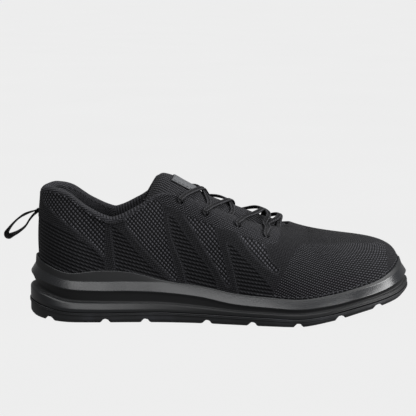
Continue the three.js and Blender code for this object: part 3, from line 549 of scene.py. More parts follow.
def knit_material():
    material, tree, shader = new_material("polyester_knit", "#1b1b1d", 0.8, Specular_IOR_Level=0.1)
    shader.inputs["Sheen Weight"].default_value = 0.03
    shader.inputs["Sheen Roughness"].default_value = 0.4
    weave = add(tree, "ShaderNodeAttribute", out=1, attribute_name="weave")
    side = add(tree, "ShaderNodeAttribute", out=1, attribute_name="side")
    girth = add(tree, "ShaderNodeAttribute", out=1, attribute_name="girth")

    stitches = wave(tree, slanted(tree, weave, (1, 0.25, 0)), STITCH_PITCH)
    rows = wave(tree, slanted(tree, weave, (0.2, 1, 0)), STITCH_PITCH * 1.2)
    plain = add(tree, "ShaderNodeMath", (stitches, rows), operation="MULTIPLY")
    rib = wave(tree, slanted(tree, side, (0, 0, 1)), RIB_PITCH)
    rib_stitch = wave(tree, slanted(tree, weave, (0.8, 0.6, 0)), STITCH_PITCH * 1.5)
    rib = add(tree, "ShaderNodeMath", (rib, scaled(tree, rib_stitch, 0.5, 0.5)), operation="MULTIPLY")
    mesh = knots(tree, side, MESH_FALLING, MESH_RISING)
    twill = knots(tree, weave, TWILL_FALLING, TWILL_RISING, TWILL_PITCH)
    toe = knots(tree, girth, TOE_FALLING, TOE_RISING)
    collar = wave(tree, slanted(tree, weave, (0, 1, 0)), COLLAR_PITCH)
    lining = wave(tree, slanted(tree, weave, (1, 0, 0)), LINING_PITCH)

    # each stitch painted with a tone from painted shade in its gaps to a painted highlight on its crests
    zones = (
        ("twill_zone", twill, 1.3, 0.0),
        ("rib_zone", rib, 0.32, 0.02),
        ("mesh_zone", mesh, 1.5, 0.01),
        ("toe_zone", toe, 1.1, 0.0),
        ("top_zone", toe, 0.45, 0.04),
        # the collar's cloth and the lining are painted lighter, painted light against the shade inside the
        # collar
        ("collar_zone", collar, 0.42, 0.18),
        ("lining_zone", lining, 0.42, 0.14),
    )
    height = plain
    names = ("rib_zone", "mesh_zone")
    opening = [add(tree, "ShaderNodeAttribute", out=2, attribute_name=name) for name in names]
    opening = add(tree, "ShaderNodeMath", opening, operation="MAXIMUM")
    past_edge = add(tree, "ShaderNodeMath", (opening, EDGE_PLACE))
    off_edge = add(tree, "ShaderNodeMath", (past_edge,), operation="ABSOLUTE")
    edge = step_up(tree, off_edge, *EDGE_FADE)
    strip_tone = scaled(tree, plain, *STRIP_TONE)
    tone = add(tree, "ShaderNodeMath", (edge, EDGE_TONE, strip_tone), operation="MULTIPLY_ADD")
    for name, pattern, contrast, base in zones:
        share = inside(tree, name)
        height = mix_value(tree, share, height, pattern)
        tone = mix_value(tree, share, tone, scaled(tree, pattern, contrast, base))
    fuzz = add(tree, "ShaderNodeTexNoise", {"Vector": millimetres(tree), "Scale": 0.8, "Detail": 4.0})
    fuzz = scaled(tree, fuzz, 0.9, 0.55)
    tone = add(tree, "ShaderNodeMath", (tone, fuzz), operation="MULTIPLY", use_clamp=True)
    # the colour runs from the painted shade in the gaps to the painted highlight, with a faint cool tint
    colour = mix_colour(tree, tone, linear("#050506"), linear("#454549"))
    tree.links.new(colour, shader.inputs["Base Color"])
    relief(tree, shader, height, KNIT_DEPTH)
    return material


def lining_material():
    material, tree, shader = new_material("brushed_lining", "#141416", 0.92, Specular_IOR_Level=0.1)
    shader.inputs["Sheen Weight"].default_value = 0.04
    place = millimetres(tree)
    rib = wave(tree, slanted(tree, place, (1, 0, 0)), 2.0)
    cross = wave(tree, slanted(tree, place, (0, 1, 0.4)), 2.0)
    height = add(tree, "ShaderNodeMath", (rib, cross), operation="MULTIPLY")
    fuzz = add(tree, "ShaderNodeTexNoise", {"Vector": place, "Scale": 1.2, "Detail": 4.0})
    share = add(tree, "ShaderNodeMath", (fuzz, 0.6, height), operation="MULTIPLY_ADD")
    tree.links.new(mix_colour(tree, share, linear("#08080a"), linear("#1c1c1f")), shader.inputs["Base Color"])
    relief(tree, shader, height, 0.4)
    return material


KNIT = knit_material()
LINING = lining_material()
print("knit materials:", KNIT.name, LINING.name)

# %% [markdown]
# Cord, tape and webbing
# The lace is a flat braided cord with two soft ridges. The label and the pull loop are narrow woven
# tape. All are polyester, a little shinier than the knit. The meshes carry a value called cloth, with
# the distance along and across each strip in millimetres. The lace's mesh also carries a value called
# ridge, which is 1 on its two upper ridges. A highlight is painted there into the cord's colour, and
# between them the cord is painted nearly black.

# %% Trim materials
def strip_material(name, dark, light, pitch, roughness, depth, between=1.0, gloss=0.3):
    """Strip whose yarns cross at a slant. A highlight is painted on ridges that the mesh marks; between is
    the tone that is left between them.
    """
    material, tree, shader = new_material(name, dark, roughness, Specular_IOR_Level=gloss)
    cloth = add(tree, "ShaderNodeAttribute", out=1, attribute_name="cloth")
    first = wave(tree, slanted(tree, cloth, (0.8, 0.6, 0)), pitch)
    second = wave(tree, slanted(tree, cloth, (0.8, -0.6, 0)), pitch)
    height = add(tree, "ShaderNodeMath", (first, second), operation="MAXIMUM")
    fuzz = add(tree, "ShaderNodeTexNoise", {"Vector": millimetres(tree), "Scale": 1.1, "Detail": 3.0})
    share = add(tree, "ShaderNodeMath", (fuzz, 0.5, height), operation="MULTIPLY_ADD")
    ridge = add(tree, "ShaderNodeAttribute", out=2, attribute_name="ridge")
    # the ridges that the mesh marks get a painted highlight; between them the tone is lowered
    ridge_highlight_tone = mix_value(tree, ridge, between * 0.7, 0.7)
    share = add(tree, "ShaderNodeMath", (share, ridge_highlight_tone), operation="MULTIPLY")
    tree.links.new(mix_colour(tree, share, linear(dark), linear(light)), shader.inputs["Base Color"])
    relief(tree, shader, height, depth)
    return material


# the cord: painted nearly black between its ridges and lighter on them, a painted highlight
CORD = strip_material(
    "braided_polyester_cord", "#030304", "#3e3e41", 1.5, 0.45, 0.3, between=0.08, gloss=0.12
)
WEBBING = strip_material("woven_polyester_webbing", "#030304", "#131315", 1.4, 0.5, 0.2, gloss=0.15)
TAPE = strip_material("woven_label_tape", "#3c3d3f", "#565759", 1.2, 0.6, 0.12)
THREAD = strip_material("bonded_sewing_thread", "#141416", "#3c3c40", 0.8, 0.5, 0.1)
print("trim materials:", CORD.name, WEBBING.name, TAPE.name, THREAD.name)

# %% [markdown]
# Midsole
# The midsole is one moulding: a cup for the upper with a thin flange, a sloping band with a sharp
# lower ridge, and under it a wall that is hollowed round the heel. It could be cut from a block with
# modifiers, but its side changes at every section, so it is lofted: each line on the side of the sole
# is a ring round the shoe, and rounded corners are put in between the rings.

# %% Make the midsole
SOLE_COLUMNS = 640
# shares of the lower wall's height, elsewhere and at the toe
TOE_RIDGES = ((0.07, 0.25), (0.15, 0.55))
BELLY = (0.3, 0.7)
SHOULDER = (0.8, 0.88)
SHOULDER_LEAN = 2.6
TOE_RIDGE_HEIGHT = 0.35
TOE_RIDGES_AT = (188, 200)
BULGE = 0.9
BULGE_RISE = (-38, -20)
BULGE_FALL = (30, 110)
# how much gloss and painted highlight the bulge's wall gets at the heel, and where along the shoe it fades
# out
BULGE_GLOSS_AND_PAINTED_HIGHLIGHT = 0.75
BULGE_FADE = (15, 60)
# the gloss and painted highlight along the flange's top edge, a thin pale line
EDGE_GLOSS_AND_PAINTED_HIGHLIGHT = 0.9
CORNER_STEPS = 5


def around(count):
    return np.arange(count) * LOOP / count


def midsole_rings(at):
    def side(height, distance):
        points = shell(at, up_at_height(at, height)) + outward(at) * distance
        points[..., 2] = height
        return points

    lip = sole_height("lip", at)
    waist = sole_height("waist", at)
    ridge = sole_height("ridge", at)
    flange = sole_height("flange", at)
    floor = footbed_height(at)
    x = outline(at)[..., 0]
    hollow = column(SOLE_SIDE, "hollow", at) * WAIST_DEPTH
    toe = smoothstep(x, *TOE_RIDGES_AT)
    bulge = BULGE * smoothstep(x, *BULGE_RISE) * (1 - smoothstep(x, *BULGE_FALL))
    keys = [
        (inset(at, LIP_STEP + 4, lip + GAP), 0),
        (inset(at, LIP_STEP + 0.5 - bulge, lip + GAP), 0.3),
    ]

    def wall_height(shares):
        return lip + GAP + (shares[0] + (shares[1] - shares[0]) * toe) * (waist - lip)

    for shares in TOE_RIDGES:
        for offset, out in ((-0.5, 0), (0, TOE_RIDGE_HEIGHT), (0.5, 0)):
            height = wall_height(shares) + offset * (0.1 + 0.9 * toe)
            keys.append((inset(at, LIP_STEP - bulge - out * toe, height), 0.12))
    keys += [
        (inset(at, LIP_STEP - bulge, wall_height(BELLY)), 1.6),
        (inset(at, LIP_STEP - bulge + SHOULDER_LEAN * bulge / BULGE, wall_height(SHOULDER)), 1.2),
        (inset(at, RIDGE_INSET + hollow, waist), 2.2),
        (inset(at, RIDGE_INSET + RIDGE_UNDERCUT, ridge - RIDGE_EDGE), 0.8),
        (inset(at, RIDGE_INSET, ridge), 0.45),
        (side(sole_height("band", at), GAP + FLANGE_WALL + BAND_FOOT), 0.7),
        (side(flange, GAP + FLANGE_WALL), 0.65),
        (side(flange, GAP), 0.4),
        (side((flange + floor) / 2, GAP), 1),
        (inset(at, FEATHER_INSET - GAP, floor), 0),
    ]
    radii = [k[1] for k in keys]
    return rounded([k[0] for k in keys], radii, CORNER_STEPS), radii


def make_midsole():
    at = around(SOLE_COLUMNS)
    rings, radii = midsole_rings(at)
    owner = [i for i, r in enumerate(radii) for _ in range(1 if r == 0 else CORNER_STEPS)]
    points = np.concatenate(rings)
    ridge_key = len(radii) - 6
    shoulder_key = ridge_key - 3
    x = outline(at)[..., 0]
    bulge = BULGE_GLOSS_AND_PAINTED_HIGHLIGHT * (1 - smoothstep(x, *BULGE_FADE))
    # 1 on the band, less on the flange's top edge and the heel bulge: glossier, and painted lighter, a
    # painted highlight
    gloss_and_painted_highlight = []
    for i, key in enumerate(owner):
        step = i - owner.index(key)
        on_band = (key == ridge_key and step > 1) or (key == ridge_key + 1 and step < 3)
        on_edge = key == ridge_key + 2
        if on_band:
            gloss_and_painted_highlight.append(np.ones(len(at)))
        elif on_edge:
            gloss_and_painted_highlight.append(np.full(len(at), EDGE_GLOSS_AND_PAINTED_HIGHLIGHT * (step > 0)))
        else:
            gloss_and_painted_highlight.append(bulge * (1 <= key <= shoulder_key))
    gloss_and_painted_highlight = np.concatenate(gloss_and_painted_highlight)
    faces = list(ring_faces(len(rings), SOLE_COLUMNS))
    faces += cap_faces(SOLE_COLUMNS, 0)
    faces += cap_faces(SOLE_COLUMNS, (len(rings) - 1) * SOLE_COLUMNS, flip=True)
    return make_piece("midsole_cup", points, faces, "midsole", FOAM, {"gloss_and_painted_highlight": gloss_and_painted_highlight})


make_midsole()

# %% [markdown]
# Outsole
# The outsole is a rubber plate with lugs. Its edge stands a little proud as a lip with a fine groove
# in it, and wide grooves cross the tread and open at the side as notches. The tread could be cut with
# boolean blocks. Here it is one sheet of points whose height follows the grooves, which keeps the
# mesh even and lets small slits be added between the lugs.

# %% Make the outsole
NOTCHES = (0.061, 0.206, 0.309, 0.468, 0.584, 0.7, 0.808, 0.906)
CHANNEL_FROM = 0.5
CHANNEL_TO = 0.93
TREAD_COLUMNS = 72
SLIT_PITCH = 8.5
SLIT_WIDTH = 1.6
SLIT_DEPTH = 1.2
SLIT_SLANT = 0.35


def groove_depth(x):
    """How deep the grooves across the tread are at a distance along the shoe."""
    wide = (LUG_GROOVE / 2 + LUG_DEPTH + LUG_GROOVE / 4) / 2
    narrow = LUG_GROOVE / 4
    depth = np.zeros(np.shape(x))
    for share in NOTCHES:
        distance = np.abs(x - along_to_x(share))
        depth = np.maximum(depth, LUG_DEPTH * np.clip((wide - distance) / (wide - narrow), 0, 1))
    return depth


def tread_depth(x, y):
    channel = smoothstep(np.abs(y), LUG_CHANNEL / 2 + 0.8, LUG_CHANNEL / 2 - 0.4)
    share = (x + HEEL_SETBACK) / SOLE_LENGTH
    channel = channel * LUG_DEPTH * ((share > CHANNEL_FROM) & (share < CHANNEL_TO))
    place = (x + SLIT_SLANT * np.abs(y)) / SLIT_PITCH
    off = np.abs(place - np.round(place)) * SLIT_PITCH
    inner = smoothstep(np.abs(y), 40, 34) * smoothstep(np.abs(y), 6, 9)
    slits = SLIT_DEPTH * inner * smoothstep(off, SLIT_WIDTH, SLIT_WIDTH / 3)
    return np.maximum(np.maximum(groove_depth(x), channel), slits)


def make_outsole():
    at = around(SOLE_COLUMNS)
    bottom = sole_height("bottom", at)
    lip = sole_height("lip", at)
    low = lip - LIP_HEIGHT
    keys = [
        (inset(at, BOTTOM_BEVEL, bottom), 0),
        (inset(at, LIP_STEP, bottom + BOTTOM_BEVEL_HEIGHT), 1),
        (inset(at, LIP_STEP, (bottom + BOTTOM_BEVEL_HEIGHT + low) / 2), 0),
        (inset(at, LIP_STEP, low), 0.15),
        (inset(at, 0, low), 0.25),
        (inset(at, 0, lip - 1.15), 0.1),
        (inset(at, 0.4, lip - 0.95), 0.1),
        (inset(at, 0, lip - 0.75), 0.1),
        (inset(at, 0, lip), 0.35),
        (inset(at, 5, lip), 0),
    ]
    rings = rounded([k[0] for k in keys], [k[1] for k in keys])
    for ring in rings[:-1]:
        ring[..., 2] = np.maximum(ring[..., 2], bottom + groove_depth(ring[..., 0]))
    points = np.concatenate(rings)
    faces = list(ring_faces(len(rings), SOLE_COLUMNS))
    faces += cap_faces(SOLE_COLUMNS, (len(rings) - 1) * SOLE_COLUMNS, flip=True)

    half = SOLE_COLUMNS // 2
    outer = rings[0][: half + 1]
    inner = rings[0][(-np.arange(half + 1)) % SOLE_COLUMNS]
    across = np.linspace(0, 1, TREAD_COLUMNS)[None, :, None]
    tread = outer[:, None, :] * (1 - across) + inner[:, None, :] * across
    plain = sole_height("bottom", at)[: half + 1, None] * (1 - across[..., 0])
    plain = plain + sole_height("bottom", (-at[: half + 1]) % LOOP)[:, None] * across[..., 0]
    depth = tread_depth(tread[..., 0], tread[..., 1])
    tread[:, 1:-1, 2] = (plain + depth)[:, 1:-1]
    start = len(points)
    points = np.concatenate([points, tread.reshape(-1, 3)])
    faces += list(grid_faces(half + 1, TREAD_COLUMNS, start))
    return make_piece("outsole_rubber", points, faces, "outsole", RUBBER)


make_outsole()

# %% [markdown]
# Knit zones
# The zones are charted in the shoe's own millimetres, as seen from the side: distance along
# the shoe and height above the ground. Both sides of the shoe are knitted alike. For each point of
# the upper the signed distance to the nearest zone of a kind is kept, positive inside.

# %% Chart the zones
RIB_ZONES = [
    [(-47, 79), (-34, 78), (-26, 76), (-9, 68.5), (8, 57.5), (16.5, 48), (18, 28), (-47, 28)],
    [(22.5, 76.5), (31, 69.5), (38, 59.7), (45.5, 51), (53, 43), (68, 31.5), (68, 26), (27, 26), (25.5, 45)],
    [
        (67, 84), (72.5, 80), (80.7, 66.7), (91, 51.8), (97, 44),
        (104, 32), (105, 24), (83, 24), (78.5, 44), (69.6, 66.7),
    ],
    [
        (113, 62), (115.5, 62), (122, 54.6), (134, 43.3), (141.5, 35.5),
        (148, 27), (148, 18), (123.5, 18), (117.7, 43.3),
    ],
]
MESH_ZONES = [
    [
        (-33, 99), (-19, 104), (-10, 99), (7, 90), (18, 85),
        (16.5, 52), (7, 62.5), (-5, 72), (-19, 82), (-31, 92),
    ],
    [
        (32, 86), (48, 95), (61, 95), (66.5, 61.5), (74.5, 32.5),
        (72, 32), (61.5, 43), (50.5, 55), (44, 62.3), (35, 75),
    ],
    [
        (79.2, 84), (103, 75.5), (104.5, 66.7), (109.4, 51.8), (115, 30),
        (113, 29), (104.5, 44), (97, 55.5), (86.6, 72.8),
    ],
    [(122, 69), (141, 62), (143.5, 56), (146.3, 49), (153, 43), (150.8, 40.5), (141.2, 46.5), (133.5, 54)],
]
TWILL_ZONES = [
    [(50, 104), (63, 92), (79, 85.5), (95.5, 77), (122.6, 70), (140, 62.5), (152, 62), (158, 80), (110, 110)],
]
# the twill ends here, and the toe's lattice starts along a slanted line
TWILL_END = 156
TOE_START = [(140, 5), (147, 21), (161, 50), (170, 61), (180, 75)]
TOE_START_SLANT = 0.8
TOE_TIP = 239
TOE_TOP_FROM = 176
TOE_TOP_TO = 232
TOE_TOP_ALONG = [150, 170, 192, 226, 236]
TOE_TOP_HALF = [24, 29, 27, 15, 6]
TOE_TOP_BORDER = 2.2
# the toe's middle swings to the inner side: how far, from where and over what length
TOE_SWING = 6
TOE_SWING_FROM = 163
TOE_SWING_LENGTH = 95


def zone_distance(x, z, polygons):
    """Signed distance to the nearest of some closed outlines, positive inside one."""
    best = np.full(x.shape, -1e3)
    for outline_points in polygons:
        corners = np.array(outline_points, float)
        nearest = np.full(x.shape, 1e6)
        within = np.zeros(x.shape, bool)
        for (x0, z0), (x1, z1) in zip(corners, np.roll(corners, -1, 0)):
            dx, dz = x1 - x0, z1 - z0
            t = np.clip(((x - x0) * dx + (z - z0) * dz) / (dx * dx + dz * dz), 0, 1)
            nearest = np.minimum(nearest, np.hypot(x - x0 - t * dx, z - z0 - t * dz))
            if z0 != z1:
                crosses = (z0 > z) != (z1 > z)
                within ^= crosses & (x < dx * (z - z0) / dz + x0)
        best = np.maximum(best, np.where(within, nearest, -nearest))
    return best


def toe_centre(x):
    return TOE_SWING * np.clip((x - TOE_SWING_FROM) / TOE_SWING_LENGTH, 0, 1)


def toe_distances(points):
    x, y, z = points[..., 0], points[..., 1], points[..., 2]
    start = np.interp(z, [p[1] for p in TOE_START], [p[0] for p in TOE_START])
    half = np.interp(x, TOE_TOP_ALONG, TOE_TOP_HALF)
    off = np.abs(y - toe_centre(x))
    toe = np.minimum((x - start) * TOE_START_SLANT, TOE_TIP - x)
    toe = np.minimum(toe, off - half - TOE_TOP_BORDER)
    top = np.minimum(np.minimum(half - off, x - TOE_TOP_FROM), TOE_TOP_TO - x)
    return toe, top


# how steeply the ribs fall towards the toe, at distances along the shoe
RIB_FALL_ALONG = [-60, -20, 40, 87, 129, 270]
RIB_FALL = [0.4, 0.4, 0.29, 0.23, 0.12, 0.1]
TOE_WRAP_FROM = 175
TOE_WRAP_RADIUS = 45


def rib_fall(x):
    """How far the ribs have fallen at a distance along the shoe."""
    steps = np.arange(RIB_FALL_ALONG[0], RIB_FALL_ALONG[-1])
    return np.interp(x, steps, np.cumsum(np.interp(steps, RIB_FALL_ALONG, RIB_FALL)))


def toe_way(points):
    """Distance along the side that goes on round the toe's tip."""
    ahead = points[..., 0] - TOE_WRAP_FROM
    aside = np.abs(points[..., 1] - toe_centre(points[..., 0]))
    return np.where(ahead < 0, ahead, TOE_WRAP_RADIUS * np.arctan2(np.maximum(ahead, 0), aside))


print("zones:", len(RIB_ZONES), "ribbed,", len(MESH_ZONES), "open on each side")

# %% [markdown]
# Creases
# The knit is pulled tight over the last and has never been worn, so the photograph shows no folds in
# the quarter or the vamp. What it does show is charted here: the groove of the collar's seam,
# and the small pucker at the topline's lowest place, where the padding ends. The plain strips between
# the zones stand up as soft ridges.

# %% Chart the creases
PUCKER_AT = 4.95
PUCKER_WIDTH = 0.16
PUCKER_DEPTH = 0.6
STRIP_RELIEF = 0.45


def pucker_depth(at):
    place = np.minimum(at % LOOP, LOOP - at % LOOP)
    return PUCKER_DEPTH * np.exp(-(((place - PUCKER_AT) / PUCKER_WIDTH) ** 2))


print("ridges between the zones stand", STRIP_RELIEF, "mm high")

# %% [markdown]
# Upper
# The upper is one closed shell with a real wall: its outer face, a padded roll round the collar and
# the lining. It is lofted from the last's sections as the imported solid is, only finer, and its eyelets
# are cut right through. The face is lowered a little inside the ribbed and open zones, so that the
# plain strips stand up as they do on the machine-knitted piece. A thin piping runs along the topline.

# %% Make the upper
UPPER_COLUMNS = 640
FACE_ROWS = 76
ROLL_STEPS = 16
LINING_ROWS = 22
SEAM_PLACE = 0.4
SEAM_DEPTH = 0.8
SEAM_WIDTH = 0.8
# how far down over the roll the collar's cloth reaches before the lining, at sections from the heel
COLLAR_CLOTH_AT = [0, 2.5, 3.6, 4.3, 5, 16]
COLLAR_CLOTH_OUTER = [34, 28, 12, 4, 1.8, 1.8]
COLLAR_CLOTH_INNER = [34, 34, 32, 26, 8, 1.8]
PIPING_HEIGHT = 0.7
PIPING_WIDTH = 0.9
# the sections between which the piping rises and sinks
PIPING_RISE = (3.6, 4.6)
PIPING_FALL = (7.4, 8.2)
# what the mesh carries where a point lies well outside or inside a zone, in millimetres
OUTSIDE = -5.0
INSIDE = 5.0


def displaced(points, normals, amount):
    return points + normals * amount[..., None]


def upper_grid():
    at = around(UPPER_COLUMNS)[None, :]
    flange_up = up_at_height(at, sole_height("flange", at))
    below = [0 * at, up_at_height(at, (sole_height("flange", at) + footbed_height(at)) / 2)]
    shares = np.linspace(0, 1, FACE_ROWS)[:, None]
    ups = np.concatenate(below + [flange_up + (1 - flange_up) * shares])
    face = shell(at, ups)
    rising, out = shell_frame(at, ups)

    x, z = face[..., 0], face[..., 2]
    foot = face[:1, :, 2]
    climbs = np.linalg.norm(np.diff(face, axis=0), axis=-1)
    climbed = np.concatenate([np.zeros((1, UPPER_COLUMNS)), np.cumsum(climbs, 0)])
    v = climbed + foot
    half = UPPER_COLUMNS // 2
    plan = np.linalg.norm(np.diff(face[..., :2], axis=1, append=face[:, :1, :2]), axis=-1)
    forward = np.cumsum(plan[:, :half], 1)
    backward = np.cumsum(plan[:, half:][:, ::-1], 1)[:, ::-1]
    s = np.concatenate([np.zeros((len(face), 1)), forward, backward[:, 1:]], 1)

    toe, top = toe_distances(face)
    zones = {
        "rib_zone": zone_distance(x, z, RIB_ZONES),
        "mesh_zone": zone_distance(x, z, MESH_ZONES),
        "twill_zone": zone_distance(x, z, TWILL_ZONES),
        "toe_zone": toe,
        "top_zone": top,
    }
    twill = zones["twill_zone"]
    zones["twill_zone"] = np.where(x > TWILL_END, np.minimum(twill, TWILL_END - x), twill)
    values = {
        "weave": np.stack([s, v, 0 * x], -1),
        "side": np.stack([s, z, z + rib_fall(x)], -1),
        "girth": np.stack([toe_way(face), v, x], -1),
        "climb": climbed[-1:] - climbed,
    }
    values.update(zones)

    sunk = smoothstep(np.maximum(zones["rib_zone"], zones["mesh_zone"]), -0.9, 0.9) * STRIP_RELIEF
    to_rim = climbed[-1:] - climbed
    place = np.minimum(at, LOOP - at)
    piped = smoothstep(place, *PIPING_RISE) * (1 - smoothstep(place, *PIPING_FALL))
    piping = PIPING_HEIGHT * piped * np.exp(-(((to_rim - 1.0) / PIPING_WIDTH) ** 2))
    edge = smoothstep(to_rim, 0, 3)
    foot_edge = smoothstep(ups - flange_up, 0, 0.03)
    amount = piping - sunk * edge * foot_edge
    return at, ups, face, rising, out, values, amount


def make_upper():
    at, ups, face, rising, out, values, amount = upper_grid()
    outer = displaced(face, out, amount)
    rim, up_dir, out_dir = face[-1], rising[-1], out[-1]
    radius = wall_at(at, 1.0)[0] / 2
    piping = amount[-1]
    padded = np.clip(column(SECTIONS, "pad", at[0]), 0, 1)
    roll = []
    roll_way = []
    for i in range(1, ROLL_STEPS):
        angle = math.pi * i / ROLL_STEPS
        way = angle * radius
        height = np.clip(way / 5, 0, 1)
        groove = SEAM_DEPTH * np.exp(-(((way - SEAM_PLACE) / SEAM_WIDTH) ** 2)) * padded
        pucker = pucker_depth(at[0]) * padded * height
        size = radius - groove - pucker + piping * max(0.0, 1 - i / 3)
        centre = rim - out_dir * radius[:, None]
        ring = centre + out_dir * (math.cos(angle) * size)[:, None]
        roll.append(ring + up_dir * (math.sin(angle) * size)[:, None])
        roll_way.append(way)
    lining_ups = ups[-1] - (ups[-1] - 0.02) * np.linspace(0, 1, LINING_ROWS)[:, None]
    lining = inner_shell(at, lining_ups)
    hem = shell(at[0], np.zeros(UPPER_COLUMNS)) - outward(at[0]) * UPPER_WALL
    rings = list(outer) + roll + list(lining) + [hem]
    face_count = len(outer)
    extra = len(rings) - face_count
    points = np.concatenate(rings)

    carried = {}
    for key, value in values.items():
        tail = np.repeat(value[-1:], extra, 0)
        carried[key] = np.concatenate([value, tail])
    for key in ("rib_zone", "mesh_zone", "twill_zone", "toe_zone", "top_zone"):
        carried[key][face_count + 2 :] = OUTSIDE
    ways = np.array(roll_way)
    steps = np.linalg.norm(np.diff(lining, axis=0, prepend=lining[:1]), axis=-1)
    down = np.cumsum(steps, 0) + 2 * radius
    over = np.concatenate([-carried["climb"][:face_count], ways, down, down[-1:] + 5])
    place = np.minimum(at[0], LOOP - at[0])
    outer_depth = np.interp(place, COLLAR_CLOTH_AT, COLLAR_CLOTH_OUTER)
    inner_depth = np.interp(place, COLLAR_CLOTH_AT, COLLAR_CLOTH_INNER)
    depth = np.where(at[0] < LOOP / 2, outer_depth, inner_depth)
    carried["collar_zone"] = np.minimum(over - SEAM_PLACE, depth - over)
    carried["lining_zone"] = over - depth
    carried["weave"][face_count:, :, 1] += over[face_count:]
    del carried["climb"]
    flat = {k: v.reshape(-1, 3) if v.ndim == 3 else v.reshape(-1) for k, v in carried.items()}
    faces = ring_faces(len(rings), UPPER_COLUMNS, closed=True)
    return make_piece("knitted_upper", points, faces, "upper", KNIT, flat)


EYELETS = ((7.48, 0.65), (8.04, 1.65), (9.12, 2), (10.08, 2.5))
EYELET_SIDES = 28


def cut_eyelets(piece):
    """Round holes through the wall, on both sides of the throat."""
    points, faces = [], []
    for at, back in EYELETS:
        for place in (at, LOOP - at):
            up = up_below_rim(place, back * EYELET_SETBACK)
            out = Vector(shell_frame(place, up)[1])
            middle = Vector(shell(place, up))
            side = out.orthogonal().normalized()
            other = out.cross(side)
            start = len(points)
            for lift in (-6, 6):
                for i in range(EYELET_SIDES):
                    angle = 2 * math.pi * i / EYELET_SIDES
                    round_out = math.cos(angle) * side + math.sin(angle) * other
                    points.append((middle + out * lift + round_out * EYELET_BORE / 2) * MM)
            for i in range(EYELET_SIDES):
                k = (i + 1) % EYELET_SIDES
                faces.append((start + i, start + k, start + EYELET_SIDES + k, start + EYELET_SIDES + i))
            faces.append(tuple(start + i for i in reversed(range(EYELET_SIDES))))
            faces.append(tuple(start + EYELET_SIDES + i for i in range(EYELET_SIDES)))
    mesh = bpy.data.meshes.new("eyelet_punches")
    mesh.from_pydata(points, [], faces)
    punches = bpy.data.objects.new("eyelet_punches", mesh)
    scene.collection.objects.link(punches)
    cut = piece.modifiers.new("eyelets", "BOOLEAN")
    cut.operation = "DIFFERENCE"
    cut.solver = "EXACT"
    cut.object = punches
    depsgraph = bpy.context.evaluated_depsgraph_get()
    result = bpy.data.meshes.new_from_object(piece.evaluated_get(depsgraph))
    piece.modifiers.clear()
    piece.data = result
    bpy.data.objects.remove(punches)
    print("upper with eyelets:", len(result.vertices), "points", len(result.polygons), "faces")


upper = make_upper()
cut_eyelets(upper)

# %% [markdown]
# Insole
# The insole is a loose foam footbed covered with the lining's cloth. Only its heel shows, down inside
# the collar. It is lofted like the sole, with a rounded edge and a shallow dish under the heel.

# %% Make the insole
INSOLE_THICKNESS = 4.5
INSOLE_CLEARANCE = 1
INSOLE_COLUMNS = 256
INSOLE_DISH = 1.2
DISH_FADE = (20, 80)


def make_insole():
    at = around(INSOLE_COLUMNS)

    def edge(extra, lift):
        distance = FEATHER_INSET + UPPER_WALL + INSOLE_CLEARANCE + extra
        return inset(at, distance, footbed_height(at) + GAP + lift)

    keys = [
        (edge(0, 0), 0),
        (edge(0, INSOLE_THICKNESS - 0.6), 1.2),
        (edge(2.2, INSOLE_THICKNESS), 1),
    ]
    for extra, sink in ((6, 0.25), (10, 0.55), (15, 0.85), (20, 1)):
        dish = INSOLE_DISH * sink * (1 - smoothstep(outline(at)[..., 0], *DISH_FADE))
        keys.append((edge(extra, INSOLE_THICKNESS - dish), 0))
    rings = rounded([k[0] for k in keys], [k[1] for k in keys], 5)
    faces = list(ring_faces(len(rings), INSOLE_COLUMNS))
    faces += cap_faces(INSOLE_COLUMNS, 0)
    faces += cap_faces(INSOLE_COLUMNS, (len(rings) - 1) * INSOLE_COLUMNS, flip=True)
    piece = make_piece("foam_insole", np.concatenate(rings), faces, "insole", LINING)
    return piece


make_insole()

# %% [markdown]
# Tongue
# The tongue is a padded strip of the same knit that runs under the throat's edges and stands above
# the topline. A cloth simulation would make folds that the photograph doesn't show, so it is lofted
# from its own table and puffed: its thickness falls to nothing at the edges in a round.

# %% Make the tongue
TONGUE_WALL = 5
TONGUE_LAP = 12
TONGUE_TUCK = 12
TONGUE_CLEARANCE = 0.7
# at, along, height, lap
TONGUE_ROWS = np.array([
    (6.35, 0.341, 1.066, 0.5),
    (6.65, 0.354, 1.081, 0.75),
    (7.05, 0.379, 1.062, 1),
    (7.45, 0.4053, 1.019, 1),
    (7.95, 0.4382, 0.9665, 1),
    (8.55, 0.4745, 0.904, 1),
    (9.4, 0.5404, 0.8325, 1),
    (10.2, 0.593, 0.775, 1),
    (10.9, 0.6326, 0.737, 1),
    (11.6, 0.657, 0.713, 1),
])
TONGUE_FRONTS = ((0.7, 0), (1.1, 1))
TONGUE_STEPS = 110
FLANK = (0, 0.02, 0.06, 0.12, 0.2, 0.32, 0.5, 0.75)
ARCH = 28
TONGUE_TIP_ROUND = 0.25


def tongue_column(index, at):
    at = np.asarray(at, float)
    rows = TONGUE_ROWS[:, index]
    place = np.interp(at, TONGUE_ROWS[:, 0], np.arange(len(rows)))
    place = place + np.where(at < TONGUE_ROWS[0, 0], (at - TONGUE_ROWS[0, 0]) / 0.3, 0)
    base = np.clip(np.floor(place).astype(int), 0, len(rows) - 2)
    t = np.maximum(place - base, 0)
    a, b, c, d = (rows[np.clip(base + k, 0, len(rows) - 1)] for k in (-1, 0, 1, 2))
    smooth = b * (2 * t**3 - 3 * t**2 + 1) + c * (3 * t**2 - 2 * t**3)
    smooth = smooth + (c - a) / 2 * (t**3 - 2 * t**2 + t) + (d - b) / 2 * (t**3 - t**2)
    return smooth + np.minimum(place, 0) * (rows[1] - rows[0])


